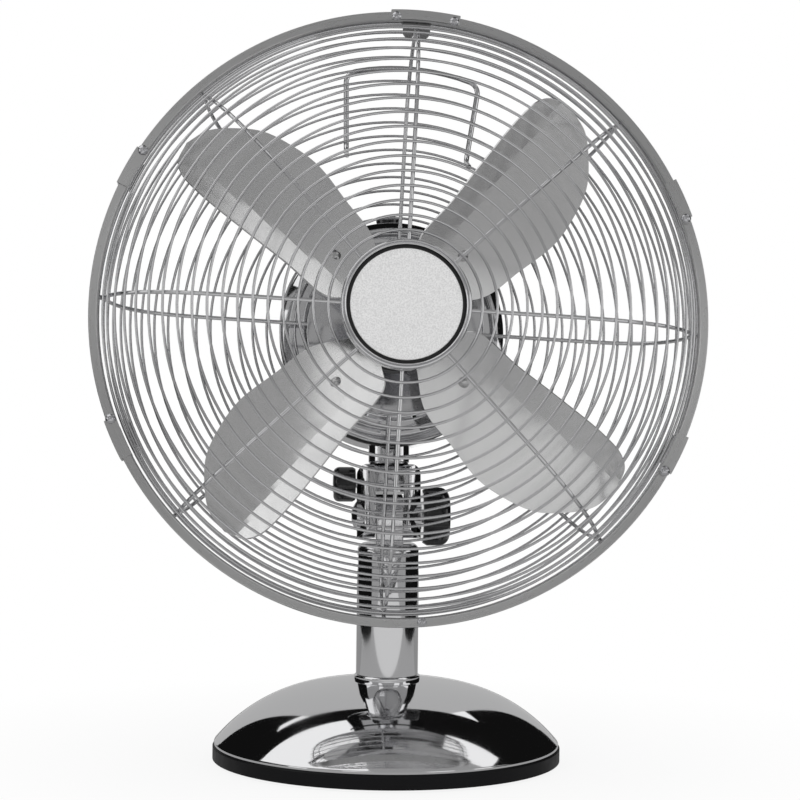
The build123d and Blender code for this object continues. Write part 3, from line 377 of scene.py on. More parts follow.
# Lays a piece drawn in X-Y on its side: its X goes along Y, its Y up, its Z across.
sideways = Matrix(((0, 0, 1, 0), (1, 0, 0, 0), (0, 1, 0, 0), (0, 0, 0, 1)))
casting = turned("neck_casting", [(0, 101), (16.65, 101), (16.65, 121), (18.2, 121)]
    + arc((13.2, 123), 5, 0, 90, 10) + [(0, 128)], steps=128, closed=False)
tongue = plated("tongue", [(-13, 126), (13, 126)] + arc((0, pivot_z), 13, 0, 180, 40), -8, 8)
casting = joined(edged(casting, 0.3), placed(edged(tongue, 0.7), sideways))
set_in(casting, Matrix(), cast_chrome)
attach(casting, "stand")
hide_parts("neck_head")


# ---- Fork of the yoke
# Chromed casting that hangs over the tongue and tilts on the bolt; the head's
# spindle is held in its top block by a screw from the left.
up = Vector(joints["swing"]["axis"]).normalized()
across = Vector((1, 0, 0))
back = up.cross(across)


def leaning(origin):
    """Frame of what tilts, at an origin: X across, Y to the back, Z up along the spindle."""
    return Matrix(((across.x, back.x, up.x, origin.x), (across.y, back.y, up.y, origin.y),
        (across.z, back.z, up.z, origin.z), (0, 0, 0, 1)))


yoke_place = leaning(pivot)
# Stands a piece drawn in X-Y upright: its Y goes up, its Z to the front.
upright = spun(90, "X")
front_view = ([(-19, -13), (19, -13)] + arc((12, 23.5), 7, 0, 90, 10)
    + arc((-12, 23.5), 7, 90, 180, 10))
fork = placed(plated("fork_casting", front_view, -13, 13), upright)
side_view = arc((0, 0), 13, 180, 360, 32) + arc((4.5, 22), 8.5, 0, 90, 14)
side_view += arc((-4.5, 22), 8.5, 90, 180, 14)
side_cutter = plated("side_cutter", side_view, -25, 25)
side_cutter.matrix_world = sideways
cut_from(fork, side_cutter, "INTERSECT")
top_view = [(19 * cos(radians(a)), 13 * sin(radians(a))) for a in range(0, 360, 4)]
cut_from(fork, plated("top_cutter", top_view, -20, 40), "INTERSECT")
cut_from(fork, placed(rod(8.8, 38, (0, 0, 0), (0, pi / 2, 0), 64)), "UNION")
cut_from(fork, blocked("slot_cutter", (-8.3, -20, -20), (8.3, 20, 13.8)))
set_in(edged(fork, 1.6, corner=50, rounds=4), yoke_place, polished_chrome, smooth=40)
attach(fork, "yoke")
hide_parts("yoke_fork")


# ---- Pivot bolt and spindle
# A chromed bolt with a domed head goes through fork and tongue into the tilt
# knob; the spindle, its washer and the lock screw are plain zinc-plated steel.
left_face = 19
bolt_radius, bolt_rise = 8.5, 3.2
bolt_dome = (bolt_radius ** 2 + bolt_rise ** 2) / (2 * bolt_rise)
cap = [(bolt_dome * sin(radians(a)), bolt_rise - bolt_dome * (1 - cos(radians(a))))
    for a in (0, 5, 10, 15, 20, 25, 30, 35, 39)]
bolt = turned("bolt_with_domed_head", cap + [(bolt_radius, 0), (4, 0), (4, -46), (3.2, -47),
    (0, -47)], steps=64, closed=False)
bolt_place = yoke_place @ moved(-left_face, 0, 0) @ spun(-90, "Y")
set_in(bolt, bolt_place, polished_chrome)
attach(bolt, "yoke")
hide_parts("pivot_bolt")
refinish(["spindle", "thrust_washer", "lock_screw"], zinc_steel)


# ---- Tilt and lock knobs
# Black moulded hand knobs with flutes between their lobes: the large one pulls
# the tilt joint tight, the small one turns the screw that bears on the spindle.
def lobed(name, radius, length, lobes, first):
    """A knob drawn along Z from 0 to length, with lobes flutes cut from its rim."""
    crown = radius * 0.36
    knob = turned(name, [(0, 0), (radius * 0.90, 0), (radius, crown * 0.45)]
        + arc((radius - crown, length - crown), crown, 0, 80, 10)
        + [(radius * 0.52, length), (radius * 0.46, length - 1), (0, length - 1.4)], steps=144,
        closed=False)
    flute = radius * 0.22
    reach = radius + 0.35 * flute
    cutters = []
    for lobe in range(lobes):
        turn = radians(first + 360 / lobes * lobe)
        centre = (reach * cos(turn), reach * sin(turn), 0)
        cutters.append(rod(flute, 4 * length, centre, (0, 0, 0), 40))
    cut_from(knob, joined(*cutters))
    return edged(knob, 0.7, corner=40, rounds=3)


knob_seat, lock_height = 19.8, 18.6
tilt_knob = lobed("tilt_knob_moulding", 17.2, 16, 8, 22.5)
set_in(tilt_knob, yoke_place @ moved(knob_seat, 0, 0) @ spun(90, "Y"), gloss_black, smooth=40)
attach(tilt_knob, "knob_tilt")
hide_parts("tilt_knob")
lock_knob = lobed("lock_knob_moulding", 10.3, 13, 6, 0)
set_in(lock_knob, yoke_place @ moved(-knob_seat, 0, lock_height) @ spun(-90, "Y"), gloss_black,
    smooth=40)
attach(lock_knob, "knob_lock")
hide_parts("lock_knob")


# ---- Front guard
# Round steel wires laid on eight spokes and spot welded, the whole cage then
# polished and chrome plated. The hoops follow a bowl that is flat in the middle.
head_place = leaning(Vector(joints["spin"]["pos_m"]))
ring_forward, ring_radius, guard_roll = 100, 170, 3
fan_place = head_place @ moved(0, -ring_forward, 0)
guard_place = fan_place @ spun(guard_roll, "Y")
# Turns a piece drawn round Z so that it lies round Y, with its Z to the back.
onto_axis = spun(-90, "X")
hoop_wire, spoke_wire, rim_wire, hoop_pitch = 1.5, 2.2, 2.8, 8
rim_radius, front_rim_y, rear_rim_y = 166, -3.75, 3.75
wire_chrome = finish_of("chromed_wire", (0.74, 0.74, 0.75), 1, 0.05, 0.12, 45)


def bowl(radius, depth, flat, wall, fullness, corner):
    """Depth of a guard at a radius: flat in the middle and steep at its wall."""
    across_wall = min(max((radius - flat) / (wall - flat), 0), 1) ** fullness
    return depth * (1 - across_wall) ** (1 / corner)


def hoops_of(shape, first, wall):
    """Radii of the hoops, evenly spaced along the bowl."""
    radii, radius, travelled = [first], first, 0
    while radius < wall - 0.5:
        travelled += hypot(0.02, bowl(radius + 0.02, *shape) - bowl(radius, *shape))
        radius += 0.02
        if travelled >= hoop_pitch:
            radii.append(radius)
            travelled = 0
    return radii


def wired(name, loops, lines, thickness):
    """Round wire along closed loops (radius, Y) and open lines (points), all in mm."""
    pieces = []
    for radius, y in loops:
        bpy.ops.mesh.primitive_circle_add(vertices=int(72 + radius * 0.4), radius=radius * mm,
            location=(0, y * mm, 0), rotation=(pi / 2, 0, 0))
        pieces.append(bpy.context.object)
    for line in lines:
        pieces.append(drawn("wire_path", [Vector(p) * mm for p in line], False))
        bpy.ops.object.mode_set(mode="OBJECT")
    wire = joined(*pieces)
    wire.name = wire.data.name = name
    placed(wire)
    bpy.ops.object.convert(target="CURVE")
    wire = bpy.context.object
    wire.data.dimensions = "3D"
    wire.data.bevel_depth = thickness / 2 * mm
    wire.data.bevel_resolution = 2
    wire.data.use_fill_caps = True
    bpy.ops.object.convert(target="MESH")
    return bpy.context.object


def cage(name, side, shape, radii, inner_end, rim_y):
    """One guard: hoops outside, eight spokes inside, and a thicker rim hoop at the edge."""
    seats = []
    for radius in radii:
        rise = (bowl(radius + 0.05, *shape) - bowl(radius - 0.05, *shape)) / 0.1
        seats.append((radius, side * bowl(radius, *shape), atan2(side * rise, 1)))
    hoops = wired(name, [(radius, y) for radius, y, _ in seats], [], hoop_wire)
    under = (hoop_wire + spoke_wire) / 2
    path = [(r + side * under * sin(slope), y - side * under * cos(slope))
        for r, y, slope in seats]
    path = [(inner_end, path[0][1])] + path
    last = (rim_radius - 0.2, rim_y - side * (rim_wire + spoke_wire) / 2)
    curl = [((1 - t) ** 2 * path[-1][0] + 2 * t * (1 - t) * path[-1][0] + t * t * last[0],
        (1 - t) ** 2 * path[-1][1] + 2 * t * (1 - t) * last[1] + t * t * last[1])
        for t in (0.25, 0.5, 0.75, 1)]
    spokes = []
    for spoke in range(8):
        turn = radians(45 * spoke)
        spokes.append([(r * sin(turn), y, r * cos(turn)) for r, y in path + curl])
    arms = wired("spokes", [], spokes, spoke_wire)
    rim = wired("rim", [(rim_radius, rim_y)], [], rim_wire)
    return joined(hoops, arms, rim)


front_shape = (42, 82, 163, 3, 1.7)
badge_hoop = 32.3
front_cage = cage("front_wire_cage", -1, front_shape, [badge_hoop]
    + hoops_of(front_shape, 41, 163), badge_hoop - 1, front_rim_y)
set_in(front_cage, guard_place, wire_chrome, smooth=50)
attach(front_cage, "head")
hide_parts("front_guard")


# ---- Rear guard
# The same way of making; its spokes end on a round plate that is clamped to
# the motor by the large nut.
rear_shape = (54, 90, 164, 4.2, 1.87)
rear_radii = hoops_of(rear_shape, 49, 164)
rear_cage = cage("rear_wire_cage", 1, rear_shape, rear_radii, 44, rear_rim_y)
plate_face = bowl(49, *rear_shape) - hoop_wire / 2 - spoke_wire - 1.2
plate = edged(turned("guard_plate", [(17, plate_face), (50, plate_face), (50, plate_face + 1.2),
    (17, plate_face + 1.2)]), 0.3)
plate.matrix_world = onto_axis
rear_cage = joined(rear_cage, plate)
set_in(rear_cage, guard_place, wire_chrome, smooth=50)
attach(rear_cage, "head")
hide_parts("rear_guard")


# ---- Carry handle
# A loop of thicker wire, bent back from two feet that are welded to a hoop of
# the rear guard, with its bar behind the top of the cage.
def bent(points, radius, steps=8):
    """Points of a line whose corners are rounded."""
    points = [Vector(p) for p in points]
    way = [points[0]]
    for before, here, after in zip(points, points[1:], points[2:]):
        to_before, to_after = (before - here).normalized(), (after - here).normalized()
        opening = to_before.angle(to_after)
        reach = radius / tan(opening / 2)
        centre = here + (to_before + to_after).normalized() * radius / sin(opening / 2)
        start, end = here + to_before * reach - centre, here + to_after * reach - centre
        for step in range(steps + 1):
            way.append(centre + start.normalized().slerp(end.normalized(), step / steps) * radius)
    return way + [points[-1]]


foot, half, bar_top, bar_drop, bar_back, handle_roll = 35.5, 39.5, 160, 6, 80, 1.5
seat = rear_radii[7]
low = sqrt(seat ** 2 - foot ** 2)
weld = bowl(seat, *rear_shape) + hoop_wire / 2 - 0.3
bar_turn = (half ** 2 + bar_drop ** 2) / (2 * bar_drop)
bar = [(x, bar_back, bar_top - bar_turn + sqrt(bar_turn ** 2 - x ** 2))
    for x in [half * share / 6 for share in range(-6, 7)]]
near_foot, far_foot = (-foot, bar_back, low + 8), (foot, bar_back, low + 8)
handle_path = bent([(-foot, weld, low), near_foot, bar[0]], 7)[:-1]
handle_path += bent([near_foot, bar[0], bar[2]], 7)[1:-1] + bar[2:-2]
handle_path += bent([bar[-3], bar[-1], far_foot], 7)[1:-1]
handle_path += bent([bar[-1], far_foot, (foot, weld, low)], 7)[1:]
handle = wired("handle_loop", [], [handle_path], 3)
set_in(handle, guard_place @ spun(handle_roll, "Y"), wire_chrome, smooth=50)
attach(handle, "head")
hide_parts("carry_handle")


# ---- Guard ring
# Rolled steel channel that closes over both rims, brushed along its length:
# a narrow front face with a rolled inner lip, and a wide band outside.
brushed, brushed_in, brushed_out = group_of("lathe_lines",
    {"Fineness": 900, "Softest": 0.25, "Roughest": 0.42}, ["Height", "Roughness"])
brushed_place = added(brushed, "TexCoord")
to_axis = added(brushed, "Mapping")
turned_back = fan_place.inverted()
to_axis.inputs["Location"].default_value = turned_back.to_translation()
to_axis.inputs["Rotation"].default_value = turned_back.to_euler()
split = added(brushed, "SeparateXYZ")
away = added(brushed, "VectorMath", operation="LENGTH")
flat = added(brushed, "VectorMath", {1: (1, 0, 1)}, operation="MULTIPLY")
turn_of = added(brushed, "Math", operation="ARCTAN2")
slow = added(brushed, "Math", {1: 0.012}, operation="MULTIPLY")
polar = added(brushed, "CombineXYZ")
lines = added(brushed, "TexNoise", {"Detail": 4})
spread = added(brushed, "MapRange", {"From Min": 0.3, "From Max": 0.7})
linked(brushed, (brushed_place, "Object", to_axis, "Vector"), (to_axis, "Vector", split, "Vector"),
    (to_axis, "Vector", flat, 0), (flat, "Vector", away, 0), (split, "X", turn_of, 0),
    (split, "Z", turn_of, 1), (turn_of, "Value", slow, 0), (away, "Value", polar, "X"),
    (split, "Y", polar, "Y"), (slow, "Value", polar, "Z"), (polar, "Vector", lines, "Vector"),
    (brushed_in, "Fineness", lines, "Scale"), (lines, "Fac", spread, "Value"),
    (brushed_in, "Softest", spread, "To Min"), (brushed_in, "Roughest", spread, "To Max"),
    (spread, "Result", brushed_out, "Roughness"), (lines, "Fac", brushed_out, "Height"))


def round_brushed(name, colour, softest, roughest, depth):
    """Metal brushed round the fan's axis."""
    made = finish_of(name, colour, 1, softest, roughest, Anisotropic=0.75)
    tree, shader = made.node_tree, made.node_tree.nodes["Principled BSDF"]
    strokes = added(tree, "Group", {"Softest": softest, "Roughest": roughest}, node_tree=brushed)
    linked(tree, (strokes, "Roughness", shader, "Roughness"))
    grained(tree, shader, (strokes, "Height"), depth, 0.5)
    place_of = added(tree, "TexCoord")
    from_axis = added(tree, "VectorMath", {1: fan_place.to_translation()}, operation="SUBTRACT")
    turned_with = added(tree, "VectorTransform", vector_type="VECTOR", convert_from="OBJECT",
        convert_to="WORLD")
    linked(tree, (place_of, "Object", from_axis, 0), (from_axis, "Vector", turned_with, "Vector"),
        (turned_with, "Vector", shader, "Tangent"))
    return made


brushed_steel = round_brushed("brushed_steel_band", (0.60, 0.60, 0.60), 0.24, 0.40, 0.02)
band = turned("rolled_channel", [(164.6, -4.6), (164.75, -5.4), (165.4, -6), (166, -5.7),
    (169.3, -5.9), (169.8, -5.7), (170, -5.2), (170, 5.5), (169.2, 5.5), (169.2, -5.1),
    (165.3, -4.9)], steps=240)
set_in(band, guard_place @ onto_axis, brushed_steel)
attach(band, "head")
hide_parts("guard_ring")


# ---- Strap, screws and bracket
# A bent strap covers the joint of the ring, with a round-headed screw at each
# end; a third screw low down secures the guard. A pressed saddle under the
# rims keeps the two cages in register at the top; its dark grey colour is
# painted shade, the shade under the rims put into the steel.
strap = turned("joint_strap", [(165.5, -7), (171.05, -7), (171.05, 4.5), (170.05, 4.5),
    (170.05, -6), (165.5, -6)], steps=20, start=-95, turn=13)
set_in(edged(strap, 0.3), guard_place @ onto_axis, brushed_steel)
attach(strap, "head")
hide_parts("ring_strap")


def at_angle(angle, radius, y):
    """Place on the guard, angle degrees clockwise from its top, with Z to the front."""
    return guard_place @ spun(angle, "Y") @ moved(0, y, radius) @ upright


def round_head(name, radius, height, shank, length, slots):
    """A domed head above Z 0 with a shank below it; slots are the strokes of its recess."""
    ball = (radius ** 2 + height ** 2) / (2 * height)
    rim_turn = degrees(asin(min(radius / ball, 1)))
    dome_part = [(ball * sin(radians(rim_turn * i / 6)),
        height - ball * (1 - cos(radians(rim_turn * i / 6)))) for i in range(7)]
    head = turned(name, dome_part + [(shank, 0), (shank, -length), (0, -length)], steps=32,
        closed=False)
    for stroke in range(slots):
        cutter = blocked("recess", (-radius * 0.55, -0.28, height * 0.45),
            (radius * 0.55, 0.28, height + 1))
        cutter.matrix_world = Matrix.Rotation(pi / 2 * stroke + 0.4, 4, "Z")
        cut_from(head, cutter)
    return head


screws, screw_reach, screw_end = [], 167.3, -5.2
for angle, face in ((-4, -7), (7, -7), (173, -6)):
    screw = round_head("round_screws", 2.6, 1.4, 1.5, screw_end - face, 2)
    screws.append(placed(screw, at_angle(angle, screw_reach, face)))
ring_screws = joined(*screws)
set_in(ring_screws, Matrix(), zinc_steel)
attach(ring_screws, "head")
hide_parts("ring_screws")
saddle_outline = ([(-7.5, 164.5), (-7.5, 160.5)] + arc((-4.5, 160.5), 3, 180, 270, 8)
    + arc((-3.4, 159.5), 2, 270, 360, 6) + [(-1.4, 162.5), (1.4, 162.5)]
    + arc((3.4, 159.5), 2, 180, 270, 6) + arc((4.5, 160.5), 3, 270, 360, 8)
    + [(7.5, 160.5), (7.5, 164.5)])
saddle = placed(plated("rim_saddle", saddle_outline, -3.35, 3.35), upright)
cut_from(saddle, blocked("saddle_slot", (-1.4, -2.35, 150), (1.4, 10, 170)))
# Painted shade: the saddle's dim grey colour stands in for the shade under the rims.
saddle_painted_shade = finish_of("saddle_plating_painted_shade", (0.20, 0.20, 0.20), 0.2, 0.45, 0.60, 150)
set_in(edged(saddle, 0.5), guard_place, saddle_painted_shade)
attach(saddle, "head")
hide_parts("rim_bracket")


# ---- Latches and rivets
# Four small channels of spring steel snap over the ring; each turns outwards
# on a rivet with a domed head at its clockwise end.
latch_face, latch_back, latch_start = -7.2, -6.3, -7.6
rivets = []
for number, angle in enumerate((67.5, 117.2, 246.6, 299.2), 1):
    web = turned("latch_channel", [(170.3, -6.3), (171.2, -6.3), (171.2, 6.7), (164.4, 6.7),
        (164.4, 5.8), (170.3, 5.8)], steps=8, start=latch_start - 90, turn=6)
    leg = turned("latch_leg", [(164.3, latch_face), (171.2, latch_face), (171.2, latch_back),
        (164.3, latch_back)], steps=10, start=latch_start - 90, turn=-latch_start)
    lug = turned("latch_lug", [(1.55, 0), (3, 0), (3, 0.9), (1.55, 0.9)], steps=32)
    lug.matrix_world = onto_axis.inverted() @ moved(0, latch_face, screw_reach) @ onto_axis
    latch = edged(joined(web, leg), 0.25)
    latch = joined(latch, edged(lug, 0.15))
    latch.name = latch.data.name = f"latch_channel_{number}"
    set_in(latch, guard_place @ spun(angle, "Y") @ onto_axis, brushed_steel)
    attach(latch, f"latch_{number}")
    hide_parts(f"guard_latch_{number}")
    rivet = round_head("latch_rivet_heads", 2.6, 1.3, 1.5, 1.5, 0)
    rivets.append(placed(rivet, at_angle(angle, screw_reach, latch_face - 0.3)))
latch_rivets = joined(*rivets)
set_in(latch_rivets, Matrix(), zinc_steel)
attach(latch_rivets, "head")
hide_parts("latch_rivets")


# ---- Badge
# A spun, chromed cup with a bead, a groove and a fine inner bead round a plain
# disc of sandblasted aluminium; a plate and a screw clamp it behind the spokes.
# The faces deep in its groove are painted dark: painted shade of the groove.
cup = turned("badge_cup", [(33.6, -42.75), (30.8, -42.75), (30.8, -46.55), (28.8, -46.55),
    (28.8, -47.75), (31.5, -47.75), (31.75, -49.3), (32, -50), (32.4, -50.3), (32.75, -50.1),
    (32.95, -49.6), (33.1, -49.5), (33.3, -50.1), (33.7, -50.6), (34.15, -50.55), (34.6, -50),
    (34.8, -49.2), (34.8, -42.75)], steps=160)
set_in(cup, fan_place @ onto_axis, polished_chrome, smooth=50)
# Painted shade: the faces deep in the groove get a dark colour that stands in for the shade there.
recess_painted_shade = finish_of("recess_painted_shade", (0.035, 0.035, 0.036), 0.6, 0.35, 0.50, 200)
cup.data.materials.append(recess_painted_shade)
for face in cup.data.polygons:
    spot = (fan_place @ onto_axis).inverted() @ face.center / mm
    if -49 < spot.z < -47 and 28 < hypot(spot.x, spot.y) < 31.7:
        face.material_index = 1
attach(cup, "head")
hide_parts("badge_rim")
sandblasted = finish_of("sandblasted_silver", (0.93, 0.93, 0.93), 0, 0.42, 0.58, 900,
    relief=(2600, 0.06, 0.9))
tree, shader = sandblasted.node_tree, sandblasted.node_tree.nodes["Principled BSDF"]
disc_place = added(tree, "TexCoord")
speckle = added(tree, "TexNoise", {"Scale": 1300, "Detail": 1})
sparkle = added(tree, "MapRange", {"From Min": 0.35, "From Max": 0.65, "To Min": 0.80,
    "To Max": 1})
linked(tree, (disc_place, "Object", speckle, "Vector"), (speckle, "Fac", sparkle, "Value"),
    (sparkle, "Result", shader, "Base Color"))
disc = turned("badge_plate", [(0, -48.95), (29.5, -48.95), (29.8, -48.7), (29.8, -47.75),
    (3.5, -47.75), (3.5, -38.6), (0, -38.6)], steps=128, closed=False)
set_in(disc, fan_place @ onto_axis, sandblasted)
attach(disc, "head")
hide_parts("badge_disc")
refinish(["badge_clamp", "badge_screw"], zinc_steel)


# ---- Motor housing
# Two chromed steel drawings round the motor, a stepped pan in front and a deep
# cup behind, with a black trim ring over their joint and slots in the back.
pan = turned("front_pan", [(24.05, -43), (50, -43), (52, -40.5), (60, -40.5), (64, -37), (64, -22),
    (63, -22), (63, -36), (59, -39), (51, -39.5), (49.4, -42), (24.05, -42)], steps=144)
set_in(edged(pan, 0.7, corner=25, rounds=4), head_place @ onto_axis, polished_chrome)
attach(pan, "head")
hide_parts("motor_front_cover")
trim = turned("trim_ring", [(64.05, -24.5), (65, -24.5), (65.4, -24), (65.4, -20), (65, -19.5),
    (64.05, -19.5)], steps=144)
set_in(edged(trim, 0.2), head_place @ onto_axis, gloss_black)
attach(trim, "head")
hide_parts("motor_band")
knob_behind = 19.65
shell = turned("rear_cup", [(64, -22)] + arc((38, 24), 26, 0, 90, 20) + [(0, 50), (0, 49)]
    + arc((38, 24), 25, 90, 0, 16) + [(63, -22)], steps=144, closed=False)
only(shell)
bpy.ops.object.mode_set(mode="EDIT")
bpy.ops.mesh.select_all(action="DESELECT")
bpy.ops.mesh.select_non_manifold()
bpy.ops.mesh.bridge_edge_loops()
outwards()
placed(shell, onto_axis)
for column in range(-2, 3):
    slot_outline = arc((0, 18.5), 1.5, 0, 180, 8) + arc((0, -18.5), 1.5, 180, 360, 8)
    slot = plated("slot_cutter", [(x + column * 8, y) for x, y in slot_outline], -60, -30)
    cut_from(shell, placed(slot, upright))
cut_from(shell, rod(12.3, 60, (0, 0, -60), (0, 0, 0), 48))
cut_from(shell, rod(2.9, 30, (0, knob_behind, 64), (0, 0, 0), 32))
set_in(shell, head_place, polished_chrome, smooth=30)
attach(shell, "head")
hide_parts("motor_rear_cover")


# ---- Inside the housing
# Cast end plates, laminated core, varnished copper, bronze bushes: bare parts
# that show only through the slots. The moulded nut clamps the rear guard.
die_cast = finish_of("bare_die_casting", (0.46, 0.46, 0.47), 0.9, 0.40, 0.60, 80,
    relief=(900, 0.05, 0.6))
refinish(["motor_front_shield", "motor_rear_shield"], die_cast)
laminations = finish_of("stacked_laminations", (0.30, 0.30, 0.31), 0.9, 0.35, 0.55, 150,
    relief=(1500, 0.05, 0.6))
refinish(["stator_core", "rotor_core"], laminations)
copper = finish_of("varnished_copper", (0.62, 0.26, 0.12), 0.9, 0.25, 0.45, 300,
    relief=(1200, 0.2, 0.8))
refinish(["stator_windings"], copper)
bushes = finish_of("oiled_bronze", (0.50, 0.36, 0.20), 1, 0.30, 0.45, 200)
refinish(["motor_bearings"], bushes)
large_nut = turned("guard_clamp_nut", [(17, -58.15), (25, -58.15), (25, -50.15), (17, -50.15)])
set_in(edged(large_nut, 0.9, rounds=4), head_place @ onto_axis, matte_black)
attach(large_nut, "head")
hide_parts("guard_nut")


# ---- Gearbox and boss
# Casting behind the motor: the gear chamber, and below it the polished boss
# that turns on the spindle of the yoke.
boss = turned("swivel_boss", [(6.05, -73), (12, -73), (12, -49), (6.05, -49)])
edged(boss, 0.5)
chamber = edged(blocked("gear_chamber", (-20, 7.3, -30), (20, 32, 16)), 3, corner=60)
foot_block = edged(blocked("gear_foot", (-12, 7.3, -58), (12, 32, -29)), 1.5, corner=60)
arm_block = edged(blocked("boss_arm", (-10, 0, -58), (10, 20, -49)), 1, corner=60)
gearbox = joined(boss, chamber, foot_block, arm_block)
set_in(gearbox, head_place, polished_chrome)
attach(gearbox, "head")
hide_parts("gearbox_case")


# ---- Pull knob
# Small black knob on a stem above the housing: pushed down, the head swings;
# pulled up, it stands still.
stem = turned("pull_knob_moulding", [(0, 6), (2.55, 6), (2.55, 64.8), (6, 64.8), (6.7, 65.6),
    (6.2, 68.5), (6, 70.5), (6.5, 73), (7, 74.8), (6.9, 76.4), (6, 77.5), (4, 77.8), (0, 77.8)],
    steps=64, closed=False)
set_in(stem, head_place @ moved(0, knob_behind, 0), gloss_black, smooth=50)
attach(stem, "knob_swing")
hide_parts("oscillation_knob")


# ---- Blades
# Four paddles stamped from aluminium sheet, twisted, cambered, and creased so
# that a narrow strip along the trailing edge stands forward; satin grained.
blade_plane, blade_root, blade_tip, blade_angle = 92, 26, 151, 44
blade_bow = (48 ** 2 + 4.5 ** 2) / 9
# Where the crease starts on the flat sheet, and what its line faces.
crease_x, crease_facing = -9.15, (125, 0, 11.15)


def along(reach):
    """Share of the blade's length at a reach, from root to tip."""
    return (reach - blade_root) / (blade_tip - blade_root)


def pitch_at(reach):
    """Pitch of the blade at a reach."""
    return radians(34 - 13 * along(reach))


def pressed(x, reach, depth=0):
    """Y of the pressed sheet at a point of its outline, depth mm behind its face."""
    pitch, crease = pitch_at(reach), 11.2 + 10.9 * along(reach)
    drop = sqrt(blade_bow ** 2 - crease ** 2) - blade_bow
    strip = tan(asin(crease / blade_bow) + radians(4 + 6 * along(reach)))
    u, v = x / cos(pitch), 0
    for _ in range(8):
        v = (sqrt(blade_bow ** 2 - u * u) - blade_bow if u > -crease else drop
            - (-crease - u) * strip) + depth
        u = (x + v * sin(pitch)) / cos(pitch)
    return u * sin(pitch) + v * cos(pitch)


def between(p, q, start, end, t):
    """The point at t on the line from p at start to q at end."""
    return p * ((end - t) / (end - start)) + q * ((t - start) / (end - start))


def smooth_line(points, steps=10):
    """A rounded line through points in the plane."""
    points = [Vector(p) for p in points]
    spread = [2 * points[0] - points[1], *points, 2 * points[-1] - points[-2]]
    way = []
    for p0, p1, p2, p3 in zip(spread, spread[1:], spread[2:], spread[3:]):
        t1 = sqrt((p1 - p0).length)
        t2 = t1 + sqrt((p2 - p1).length)
        t3 = t2 + sqrt((p3 - p2).length)
        for step in range(steps):
            t = t1 + (t2 - t1) * step / steps
            a1, a2 = between(p0, p1, 0, t1, t), between(p1, p2, t1, t2, t)
            a3 = between(p2, p3, t2, t3, t)
            b1, b2 = between(a1, a2, 0, t2, t), between(a2, a3, t1, t3, t)
            way.append(tuple(between(b1, b2, t1, t2, t)))
    return way + [tuple(points[-1])]


def stamped(name, outline, spacing, depth, thickness):
    """Sheet cut to an outline (X, up), scored into strips, pressed to shape and thickened."""
    sheet = drawn(name, [Vector((x, 0, z)) * mm for x, z in outline], True)
    bpy.ops.mesh.edge_face_add()
    low_x, high_x = min(p[0] for p in outline), max(p[0] for p in outline)
    low_z, high_z = min(p[1] for p in outline), max(p[1] for p in outline)
    cuts = [((0, 0, low_z + number * spacing), (0, 0, 1))
        for number in range(1, int((high_z - low_z) / spacing))]
    cuts += [((low_x + number * spacing, 0, 0), (1, 0, 0))
        for number in range(1, int((high_x - low_x) / spacing))]
    cuts += [((crease_x + shift, 0, blade_root), crease_facing) for shift in (-0.8, 0, 0.8)]
    for spot, facing in cuts:
        bpy.ops.mesh.select_all(action="SELECT")
        bpy.ops.mesh.bisect(plane_co=Vector(spot) * mm, plane_no=facing)
    bpy.ops.object.mode_set(mode="OBJECT")
    flat_map = sheet.data.uv_layers.new(name="sheet")
    for loop in sheet.data.loops:
        corner = sheet.data.vertices[loop.vertex_index].co
        flat_map.data[loop.index].uv = (corner.x, corner.z)
    for corner in sheet.data.vertices:
        corner.co.y = pressed(corner.co.x / mm, corner.co.z / mm, depth) * mm
    only(sheet)
    bpy.ops.object.mode_set(mode="EDIT")
    outwards()
    backward = sum(face.normal.y * face.area for face in sheet.data.polygons)
    worked(sheet, "SOLIDIFY", thickness=thickness * mm, offset=1 if backward < 0 else -1,
        use_even_offset=True)
    return edged(sheet, 0.2, corner=60, rounds=2)


trailing = smooth_line([(-11, 26), (-22, 35.9), (-24.5, 64.9), (-27.9, 95), (-30.4, 125),
    (-29.4, 139.1), (-25.1, 146.5), (-14, 151.3)])
leading = smooth_line([(-14, 151.3), (0, 149), (12.5, 140), (23, 128), (29.4, 109.9), (31.7, 93),
    (28.2, 68), (24.5, 45), (11.9, 26)])
blade = stamped("stamped_blade_1", trailing[:-1] + leading, 2.5, 0, 1.2)

satin_sheet, tree, shader = bare("satin_aluminium", {"Metallic": 1,
    "Base Color": (0.86, 0.86, 0.86, 1)})
own_map = added(tree, "UVMap", uv_map="sheet")
stretch = added(tree, "Mapping", {"Scale": (2600, 420, 1)})
strokes = added(tree, "TexNoise", {"Scale": 1, "Detail": 3})
tone = added(tree, "MapRange", {"To Min": 0.13, "To Max": 0.21})
linked(tree, (own_map, "UV", stretch, "Vector"), (stretch, "Vector", strokes, "Vector"),
    (strokes, "Fac", tone, "Value"), (tone, "Result", shader, "Roughness"))
grained(tree, shader, (strokes, "Fac"), 0.007, 0.14)

blade_place = head_place @ moved(0, -blade_plane, 0)
for number in range(1, 5):
    if number < 4:
        only(blade)
        bpy.ops.object.duplicate()
        following = bpy.context.object
    turn = spun(blade_angle + 90 * (number - 1), "Y")
    blade.name = blade.data.name = f"stamped_blade_{number}"
    set_in(blade, blade_place @ turn, satin_sheet, smooth=3)
    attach(blade, "rotor")
    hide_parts(f"fan_blade_{number}")
    blade = following


